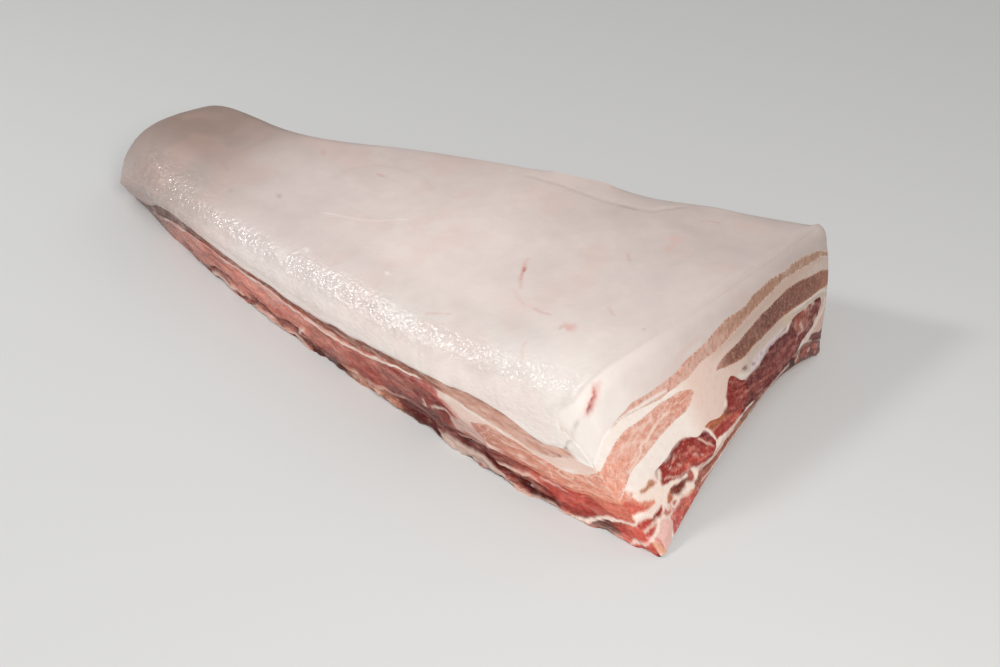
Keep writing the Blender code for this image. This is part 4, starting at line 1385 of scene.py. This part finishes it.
def sawn_band(face):
    """The flat brown band under the round muscle, streaked red and crossed by sinew."""
    face.fill(BAND_TAN, (
        (235, 90), (270, 112), (330, 88), (400, 78), (500, 75), (500, 30), (400, 30),
        (240, 22)), 0.8, 0.0)
    face.fill(BAND_RED, (
        (235, 80), (300, 80), (360, 55), (460, 50), (460, 30),
        (300, 30)), 0.8, 0.0, 0.6, (3.0, 115, -0.1, 0.3))
    face.stroke(BAND_BROWN, 0.4, (
        (250, 62), (290, 72), (340, 60), (410, 55), (500, 56)), 0.6, -0.3, 0.8)
    face.stroke(SINEW, 0.45, ((260, 102), (300, 85), (360, 70), (440, 68), (500, 70)), 0.4, 0.3, 0.7)
    face.stroke(SINEW, 1.2, ((246, 155), (256, 138), (262, 108), (245, 100)), 0.7, 0.5)
    face.stroke(SINEW_PINK, 0.6, ((205, 76), (184, 82), (165, 112), (148, 148)), 0.5, 0.4, 0.8)


def sawn_middle_muscles(face):
    """Two small muscles beside the round one, and the tall one next to the wedge of fat."""
    face.fill(ORANGE_LEAN, (
        (348, 290), (377, 292), (415, 262), (452, 216), (463, 176), (433, 173), (401, 202), (376, 213),
        (356, 252)), 0.6, 0.1)
    face.fill(RED, (
        (376, 213), (401, 202), (435, 183), (472, 174), (508, 140), (540, 120), (520, 100), (485, 92),
        (446, 100), (409, 112), (384, 130), (376, 178)), 0.6, 0.2)
    face.fill(DEEP_RED, (
        (380, 200), (430, 180), (480, 150), (460, 115), (400, 120), (385, 140)), 0.8, 0.0, 0.6)
    face.stroke(SINEW, 0.7, ((350, 262), (365, 226), (373, 169), (379, 117)), 0.5, 0.4)
    face.fill(DEEP_RED, (
        (478, 357), (491, 407), (505, 425), (518, 412), (546, 369), (566, 294), (572, 200), (560, 140),
        (500, 148), (470, 190), (462, 252), (471, 302)), 0.5, 0.9)
    face.fill(SALMON, (
        (490, 390), (520, 400), (560, 300), (560, 170),
        (480, 200)), 0.8, 0.1, 0.4, (2.6, 94, 0.3, 0.65))


def sawn_far_muscle(face):
    """The long wine-red muscle of the far half, thinly marbled, with a tan patch at its end."""
    face.fill(WINE, (
        (560, 265), (620, 269), (660, 316), (703, 349), (750, 361), (796, 357), (822, 424), (840, 457),
        (884, 452), (914, 474), (957, 510), (965, 433), (955, 349), (932, 285), (900, 229), (873, 189),
        (852, 144), (838, 115), (807, 91), (761, 75), (695, 55), (632, 68), (569, 81), (500, 100),
        (530, 130), (565, 205)), 0.5, 0.6)
    face.fill(DEEP_RED, (
        (550, 200), (620, 200), (700, 250), (800, 300), (900, 400), (950, 450), (930, 300), (840, 150),
        (750, 100), (600, 110)), 2.0, 0.0, 0.5)
    face.fill(SALMON, (
        (560, 260), (700, 340), (800, 350), (840, 450), (955, 500), (950, 340), (860, 160), (700, 60),
        (550, 90)), 0.8, 0.1, 0.22, (3.2, 95, 0.3, 0.7))
    face.stroke(SALMON, 0.5, ((555, 216), (602, 189), (659, 160), (702, 127)), 0.7, 0.1, 0.4)
    face.fill(SINEW_PINK, (
        (820, 420), (960, 500), (950, 340), (880, 220),
        (820, 250)), 1.0, 0.1, 0.8, (3.0, 96, 0.15, 0.5))
    face.fill(MARBLED_TAN, (
        (830, 420), (870, 450), (905, 440), (900, 340), (860, 280), (830, 340)), 2.0, 0.1, 0.7)
    face.fill(SINEW_PINK, (
        (850, 360), (900, 400), (915, 330), (890, 240),
        (860, 260)), 1.2, 0.2, 0.8, (2.6, 116, -0.05, 0.25))
    face.stroke(WINE, 1.3, ((905, 460), (912, 380), (905, 300), (885, 240)), 1.0, -0.2, 0.7)


def sawn_vein(face):
    """The violet and white film over the far muscle, partly its own colour and partly painted sheen, with
    two hollow veins in it.
    """
    face.fill(VIOLET, (
        (548, 372), (575, 300), (609, 285), (655, 335), (704, 360), (751, 371), (790, 376), (803, 446),
        (771, 425), (719, 419), (679, 400), (639, 390), (602, 399), (580, 391), (549, 400)), 0.6, 0.2)
    face.fill(SINEW, (
        (565, 340), (600, 295), (650, 345), (700, 385), (780, 410), (720, 400), (620, 385),
        (570, 380)), 0.8, 0.2, 0.9, (4.0, 97, -0.35, 0.15))
    face.fill(HOLLOW, ((572, 357), (582, 377), (598, 358), (586, 338)), 0.5, -1.4)
    face.stroke(HOLLOW, 0.5, ((616, 350), (622, 348)), 0.5, -0.6, 0.8)


def sawn_far_corner(face):
    """The far corner: pink fascia up the edge, wine-red meat, and a ragged brown foot."""
    face.fill(SINEW_PINK, (
        (969, 520), (1020, 543), (1020, 230), (983, 215), (930, 216), (903, 180), (887, 198),
        (927, 259), (957, 328), (966, 422)), 0.6, 0.2)
    face.stroke(SINEW, 1.2, ((900, 200), (935, 245), (962, 310), (985, 400), (985, 500)), 0.8, 0.2)
    face.fill(WINE, (
        (917, 174), (930, 210), (976, 205), (1020, 250), (1020, 140), (974, 135), (941, 146)), 0.6, 0.2)
    face.fill(FOOT_BROWN, (
        (838, 100), (881, 155), (917, 160), (974, 131), (1020, 130), (1020, -50), (840, -50),
        (840, 70)), 0.8, 0.0, 0.9)
    face.fill(FOOT_RED, (
        (830, 100), (920, 150), (1020, 120), (1020, -50),
        (850, 0)), 1.0, 0.3, 0.7, (4.0, 98, 0.0, 0.25))
    face.fill(SINEW, (
        (830, 100), (920, 150), (1020, 120), (1020, -50),
        (850, 0)), 1.0, 0.4, 0.6, (3.5, 99, 0.35, 0.55))


def sawn_meat(skin):
    """What the saw laid open below the seam fat, over a brown ground, from the near corner to
    the far one."""
    face = Wall(skin, "face", 0.8)
    face.fill(GROUND_BROWN, (
        (430, 220), (490, 270), (580, 280), (700, 300), (840, 300), (860, 120), (700, 90),
        (430, 100)), 1.5)
    sawn_corner(face)
    sawn_near_muscle(face)
    sawn_band(face)
    sawn_middle_muscles(face)
    sawn_far_muscle(face)
    sawn_vein(face)
    sawn_far_corner(face)


def torn_nose_half(near):
    """Folds, shreds and sinew over the nose half of the near side; the dark strokes sunk into the folds
    are painted shade, and the pale pink band high up is a painted wet highlight.
    """
    near.stroke(FLESH_DARK, 1.6, (
        (190, -20), (220, 80), (251, 205), (280, 258), (304, 271)), 1.5, -1.4, 0.75)
    near.stroke(SINEW_PINK, 1.6, (
        (226, 60), (252, 97), (271, 72), (291, 138), (312, 156)), 1.0, 1.4, 0.9)
    near.stroke(FLESH_DARK, 1.3, (
        (325, 122), (361, 178), (388, 141), (419, 205), (441, 180)), 1.2, -1.6, 0.9)
    near.stroke(SINEW_PINK, 1.2, (
        (325, 52), (332, 11), (364, 86), (378, 22), (406, 62), (428, 40), (442, 8)), 0.9, 1.2, 0.85)
    # Painted wet highlight high on the side.
    near.stroke(WET_HIGHLIGHT_PINK, 1.6, (
        (360, 600), (390, 620), (411, 577), (439, 600), (468, 577), (476, 545)), 1.6, 0.4, 0.6)
    near.stroke(RED, 2.2, ((326, 327), (351, 304), (377, 310), (403, 315), (431, 344)), 2.0, 0.3, 0.6)
    near.stroke(SINEW, 0.8, ((430, 143), (440, 230), (452, 300), (460, 360)), 0.8, 0.5, 0.85)
    near.stroke(ORANGE_LEAN, 1.8, (
        (427, 316), (455, 426), (469, 390), (504, 486), (532, 508)), 1.8, 0.0, 0.45)


def torn_middle(near):
    """The dark middle: hollows between the ribs, darkened with painted shade, a dark red patch of painted
    shade beside them, thin sinews, and a patch of fascia.
    """
    near.fill(FLESH_DARK, (
        (595, 200), (620, 330), (660, 400), (720, 350), (800, 340), (840, 390), (880, 340), (830, 270),
        (810, 130), (720, 110), (640, 100)), 2.4, -0.8, 0.62)
    near.fill(WINE, (
        (640, 550), (700, 740), (765, 800), (760, 500), (750, 380), (680, 400)), 3.0, 0.0, 0.30)
    near.stroke(WINE, 1.6, ((615, 480), (639, 468), (650, 396), (663, 382)), 1.4, -0.4, 0.7)
    near.stroke(SINEW, 0.55, ((704, 455), (714, 475), (716, 524), (713, 548)), 0.5, 0.4, 0.9)
    near.stroke(SINEW, 0.55, ((725, 500), (739, 531), (759, 546)), 0.5, 0.4, 0.9)
    near.stroke(SINEW_PINK, 0.8, (
        (521, 139), (542, 164), (560, 158), (577, 167), (597, 182), (613, 190), (639, 250),
        (660, 317)), 0.8, 0.5, 0.75)
    near.stroke(FLESH_DARK, 1.5, ((505, 60), (533, 73), (547, 60), (560, 10)), 1.2, -1.2, 0.85)
    near.fill(SHADOW_RED, (
        (485, 200), (495, 360), (530, 420), (600, 420), (620, 340), (610, 200),
        (540, 160)), 2.5, 0.0, 0.5)
    near.fill(FASCIA, (
        (752, 440), (758, 523), (768, 525), (787, 556), (800, 530), (805, 452), (811, 401), (791, 384),
        (777, 407), (757, 381)), 0.7, 0.4)


def torn_wide_end(near):
    """The bright meat by the near corner, below its wine-red edge, with a thin line of painted shade
    along one fold.
    """
    near.stroke(WINE, 0.8, (
        (780, 360), (797, 343), (819, 393), (838, 383), (859, 380), (877, 354),
        (893, 348)), 0.8, -0.5, 0.85)
    near.stroke(SHRED_TAN, 1.0, (
        (745, 261), (765, 290), (779, 334), (799, 346)), 0.9, 0.5, 0.8)
    near.fill(CORNER_RED, (
        (860, 100), (875, 280), (898, 336), (929, 350), (963, 380), (1020, 410), (1020, 270),
        (964, 229), (925, 120), (890, 50)), 1.4, 0.3, 0.7)
    near.stroke(FLESH_DARK, 0.6, ((850, 370), (900, 335), (940, 335), (980, 370)), 0.9, -0.3, 0.5)
    near.stroke(SINEW_PINK, 0.5, ((875, 300), (895, 315), (915, 300)), 0.7, 0.2, 0.7)
    near.fill(ORANGE, ((930, 300), (960, 420), (1020, 500), (1020, 300), (965, 260)), 1.4, 0.2, 0.6)


def torn_foot(near):
    """Flaps of fat and torn strips that hang at the foot, towards the near corner, with painted shade in
    the gaps between them and under the flaps.
    """
    near.stroke(SINEW_PINK, 1.0, (
        (792, 180), (810, 215), (836, 245), (856, 279), (866, 240)), 0.8, 0.6, 0.9)
    near.stroke(FLESH_DARK, 1.2, (
        (742, 210), (768, 235), (781, 195), (798, 170), (816, 145), (834, 116), (850, 77),
        (866, 37)), 1.0, -1.4, 0.9)
    near.fill(FLAP, (
        (688, 20), (695, 110), (715, 165), (745, 140), (770, 150), (800, 90), (810, 20), (740, 30),
        (715, -30)), 0.9, 0.5, 0.95)
    near.stroke(FLESH_DARK, 0.6, ((730, 110), (752, 55), (785, 50)), 0.8, -0.3, 0.4)
    near.fill(TAN_LEAN, (
        (505, 110), (540, 210), (600, 170), (630, 120), (660, 50), (620, -40),
        (550, -40)), 1.5, 0.3, 0.55)
    near.fill(SINEW_PINK, (
        (505, 110), (540, 210), (620, 170), (660, 50), (620, -40),
        (550, -40)), 1.2, 0.5, 0.5, (6.0, 111, 0.05, 0.3))
    near.fill(FLESH_DARK, ((620, 20), (630, 130), (690, 160), (690, 50), (660, -40)), 1.6, -0.4, 0.85)
    near.fill(FLESH_DARK, (
        (815, 100), (835, 200), (870, 200), (885, 80), (860, 20), (820, 40)), 1.4, -0.8, 0.6)
    near.stroke(SINEW_PINK, 0.7, ((800, 50), (830, 12), (870, 0), (910, 30), (950, 10)), 0.7, 0.4, 0.8)
    near.stroke(SINEW, 0.9, ((885, 5), (912, 67), (939, 135), (967, 209), (1010, 285)), 0.6, 0.6, 0.95)
    near.fill(FLAP_SHADE, (
        (900, 10), (925, 80), (945, 130), (952, 60), (935, 10)), 0.8, -0.4, 0.7)
    near.fill(BRIGHT_RED, (
        (950, 50), (958, 128), (995, 235), (1020, 240), (1020, 146), (990, 0),
        (958, -40)), 0.8, 0.3, 0.9)
    near.stroke(SINEW, 0.7, ((960, 0), (975, 60), (1000, 140)), 0.6, 0.3, 0.8)


def torn_side(skin):
    """Torn meat along the near side, from the nose to the wide end."""
    near = Wall(skin, "near", 1.0)
    torn_nose_half(near)
    torn_middle(near)
    torn_wide_end(near)
    torn_foot(near)


def far_side(skin):
    """The far long side, cut cleaner: sinew between the muscles, and folds over the ribs darkened with
    painted shade.
    """
    far = Wall(skin, "far", 2.0)
    for start in (160, 335, 500, 680, 840):
        far.fill(DEEP_RED, (
            (start, 140), (start + 20, 300), (start + 80, 360), (start + 125, 270),
            (start + 130, 120), (start + 60, 80)), 2.5, 0.3, 0.55)
        far.stroke(SINEW_PINK, 0.6, (
            (start + 135, 80), (start + 140, 200), (start + 152, 320),
            (start + 165, 420)), 0.8, 0.4, 0.75)
    far.stroke(SINEW, 0.7, ((140, 400), (250, 410), (360, 400), (480, 425), (580, 420)), 0.8, 0.3, 0.7)
    far.stroke(SINEW_PINK, 0.8, (
        (550, 360), (660, 390), (780, 375), (900, 400), (980, 390)), 0.9, 0.3, 0.7)
    # Painted shade in a fold.
    far.stroke(FLESH_DARK, 0.8, ((200, 200), (320, 220), (460, 180), (600, 200)), 1.4, -0.6, 0.6)


def fibres(skin):
    """Fibres over the red: drawn out along the near side, and slanting down across the face."""
    grain = np.where(skin.face, noise(skin.spot @ FACE_SLANT, 1.5, 87),
                     noise(skin.spot * (0.2, 1.0, 1.0), 2.2, 85))
    red = ease(1.0 - skin.tint[:, 1] / np.maximum(skin.tint[:, 0], 0.01), 0.45, 0.75)
    skin.streak(FLESH_LIGHT, FLESH_DARK, grain, red * 0.34)


def red_meat(skin):
    """Base colour and fibres of the red meat: salmon to wine red along the sides, and torn lumps and
    shreds towards the rib side. The dark nose end and the darker brown low on the sides are partly
    painted shade; the lumps are lighter and the dips between them darker, partly painted light and
    shade; and the gaps between the shreds are dark with painted shade."""
    # The dark browns at the nose end are partly painted shade.
    skin.tint = along(skin.s, (
        0.0, 0.04, 0.08, 0.125, 0.175, 0.24, 0.33, 0.38, 0.47, 0.53, 0.6, 0.67, 0.74, 0.82, 0.88,
        0.94, 1.0), (
        paint(88, 50, 34), paint(88, 46, 30), paint(96, 50, 34), paint(182, 124, 110),
        paint(200, 126, 110), paint(214, 130, 112), paint(228, 138, 120), paint(234, 148, 130),
        paint(222, 132, 114), paint(200, 106, 90), paint(188, 86, 70), paint(158, 58, 44),
        paint(142, 44, 32), paint(170, 68, 54), paint(212, 100, 84), paint(228, 108, 90),
        paint(240, 124, 100)))
    # Darker brown low on the sides, partly painted shade towards the table.
    low = 1 - ease(skin.w, 0.10, 0.34)
    skin.mix(LOW_BROWN, 0.6 * low * ease(skin.s, 0.12, 0.2) * (1 - ease(skin.s, 0.84, 0.92)))
    coarse = noise(skin.spot * (0.22, 1.0, 1.0), 3.6, 91)
    fine = noise(skin.spot * (0.25, 1.0, 1.0), 1.5, 92)
    lump = noise(skin.spot * (0.6, 1.0, 1.0), 9.0, 90, 2)
    skin.streak(FLESH_LIGHT, FLESH_DARK, coarse, 0.42)
    skin.streak(FLESH_LIGHT, FLESH_DARK, fine, 0.26)
    # Lighter on the lumps and darker between them: partly painted light and shade.
    skin.mix(FLESH_LIGHT, 0.25 * ease(lump, 0.3, 0.9))
    skin.mix(FLESH_DARK, 0.45 * ease(-lump, 0.3, 0.9))
    skin.mix(SINEW_PINK, 0.5 * ease(noise(skin.spot * (0.4, 1.0, 1.0), 4.0, 89), 0.7, 1.0))
    skin.lift = np.where(skin.side, skin.swell + 0.8 * lump + 0.35 * coarse + 0.12 * fine,
                         skin.swell + 0.10 * fine)
    torn = skin.side * (1 - ease(skin.w, 0.06, 0.22)) * ease(skin.s, 0.15, 0.22)
    shred = noise(skin.spot * (0.5, 1.0, 1.0), 4.2, 86)
    # Painted shade in the gaps between the shreds.
    skin.mix(CREVICE_SHADE, 0.85 * torn * ease(-shred, -0.25, 0.15))
    skin.mix(SHRED_PALE, 0.8 * torn * ease(shred, 0.35, 0.6))
    skin.lift += 1.6 * torn * shred
    skin.gloss = 0.65 + 0.35 * noise(skin.spot, 5.0, 88)


def deep_lean_finish(skin):
    """Red meat, with the sawn muscles on the face and the torn meat along the near side."""
    red_meat(skin)
    skin.mix(SINEW, np.where(skin.face, 1.0, 0.0))
    sawn_meat(skin)
    torn_side(skin)
    far_side(skin)
    fibres(skin)
    skin.shade()


TIP_START = ROW_MARKS[-2]
TIP_WIDE = COLUMN_MARKS[2]
tip_cells = cells_of(RIB_SHEET, DEEP_LEAN, rows=(TIP_START, 1.0), columns=(0.0, TIP_WIDE))
red_muscle = tissue("deep_lean", dull=0.44, shiny=0.18, swell=0.26, grain=0.0010, stretch=0.35,
                    dimple=0.0020, bump=0.00080, coat=0.04, flecks=0.12)
piece("deep_lean", cells_of(DEEP_LEAN) & ~tip_cells, deep_lean_finish, red_muscle)


# ---------------------------------------------------------------------------
# Rib sheet: the rib side, with a pale membrane over the low rounds of the ribs
# and red meat in the furrows between them; its torn edge hangs along the near side.
# ---------------------------------------------------------------------------
BONE_PINK = paint(228, 206, 198)


def rib_side(skin):
    """The underside: pale over the ribs and red in the furrows between them."""
    phase = (skin.s - RIB_START) / RIB_PITCH
    furrow = (0.5 + 0.5 * np.cos(2 * math.pi * phase)) ** 2
    furrow = ease(furrow + 0.22 * noise(skin.spot, 9.0, 101), 0.25, 0.8)
    under = skin.under & ~(skin.near | skin.face | skin.far | skin.nose)
    skin.mix(BONE_PINK, np.where(under, 0.85 * (1 - furrow), 0.0))
    across = noise(skin.spot * (1.0, 0.2, 1.0), 5.0, 102)
    skin.mix(SINEW_PINK, np.where(under, 0.5 * ease(across, 0.3, 0.6), 0.0))
    skin.lift[under] = (0.35 * noise(skin.spot, 7.0, 103) - 0.3)[under]


def rib_sheet_finish(skin):
    """Dark red meat with thin sinew lines on the sawn face, torn along the near side; the face darkens
    towards its far end, partly painted shade.
    """
    red_meat(skin)
    rib_side(skin)
    face = Wall(skin, "face", 0.7)
    # Darker towards the far end of the face: partly the meat's own colour and partly painted shade, in
    # the shadow under the arch.
    base = along(skin.t, (0.0, 0.22, 0.3, 0.35, 0.5, 0.65, 0.75, 0.85, 1.0), (
        SINEW, paint(186, 110, 96), paint(164, 90, 76), paint(112, 60, 48), paint(122, 76, 64),
        paint(116, 66, 54), paint(74, 30, 22), paint(50, 12, 8), paint(56, 16, 10)))
    skin.mix(base, np.where(skin.face, 1.0, 0.0))
    sawn_meat(skin)
    face.stroke(SINEW, 0.4, (
        (272, 128), (307, 104), (346, 89), (406, 88), (466, 84), (520, 80)), 0.4, 0.3, 0.8)
    face.stroke(SINEW, 0.5, ((262, 40), (317, 19), (391, 17), (486, 15), (550, 18)), 0.4, 0.3)
    face.stroke(SINEW, 0.5, ((810, 70), (759, 48), (693, 28), (625, 26), (541, 22)), 0.5, 0.3, 0.8)
    face.stroke(ORANGE_LEAN, 0.5, ((810, 35), (740, 20), (660, 5), (560, 3)), 0.6, 0.0, 0.6)
    face.fill(SINEW_PINK, (
        (100, 80), (160, 80), (240, 30), (240, 0), (70, 0)), 0.6, 0.2, 0.4, (3.0, 104, 0.3, 0.6))
    torn_side(skin)
    fibres(skin)
    skin.gloss = 0.6 + 0.3 * noise(skin.spot, 5.0, 105)


membrane = tissue("rib_sheet", dull=0.44, shiny=0.20, swell=0.26, grain=0.0010, stretch=0.4,
                  dimple=0.0020, bump=0.00070, coat=0.04, flecks=0.12)
piece("rib_sheet", cells_of(RIB_SHEET) & ~tip_cells, rib_sheet_finish, membrane)


# ---------------------------------------------------------------------------
# Rib tip: the pinkish-white gristle end of the last rib, at the near corner, with
# the red meat and fascia that wrap it.
# ---------------------------------------------------------------------------
GRISTLE = paint(236, 190, 180)
GRISTLE_SHADE = paint(214, 160, 150)
FASCIA_ORANGE = paint(232, 168, 128)


def rib_tip_finish(skin):
    """Pink-white gristle low on the face, with red meat and fascia above and beside it."""
    red_meat(skin)
    rib_side(skin)
    skin.mix(SINEW, np.where(skin.face, 1.0, 0.0))
    sawn_meat(skin)
    face = Wall(skin, "face", 0.5)
    face.fill(GRISTLE, (
        (-20, 135), (21, 133), (40, 146), (54, 161), (71, 152), (87, 116), (98, 72), (80, 45), (60, 19),
        (40, -50), (-20, -50)), 0.5, 0.3)
    face.fill(None, ((10, 100), (40, 125), (70, 120), (85, 80), (60, 30), (20, 20)), 4.0, 1.6)
    face.stroke(SINEW, 0.7, ((0, 130), (30, 137), (54, 158), (71, 150), (90, 112)), 0.5, 0.3)
    face.stroke(GRISTLE_SHADE, 0.7, ((30, 70), (50, 60), (70, 75)), 1.2, 0.0, 0.5)
    face.stroke(FASCIA_ORANGE, 1.5, ((0, 130), (8, 80), (12, 30), (20, 0)), 0.9, 0.3, 0.85)
    face.stroke(BRIGHT_RED, 0.7, ((12, 120), (20, 90), (18, 50)), 0.6, 0.0, 0.7)
    torn_side(skin)
    skin.gloss = 0.7 + 0.2 * noise(skin.spot, 4.0, 106)


gristle = tissue("rib_tip", dull=0.40, shiny=0.18, swell=0.22, grain=0.0010, stretch=0.4,
                 dimple=0.0020, bump=0.00050, coat=0.06, flecks=0.2)
piece("rib_tip", tip_cells, rib_tip_finish, gristle)
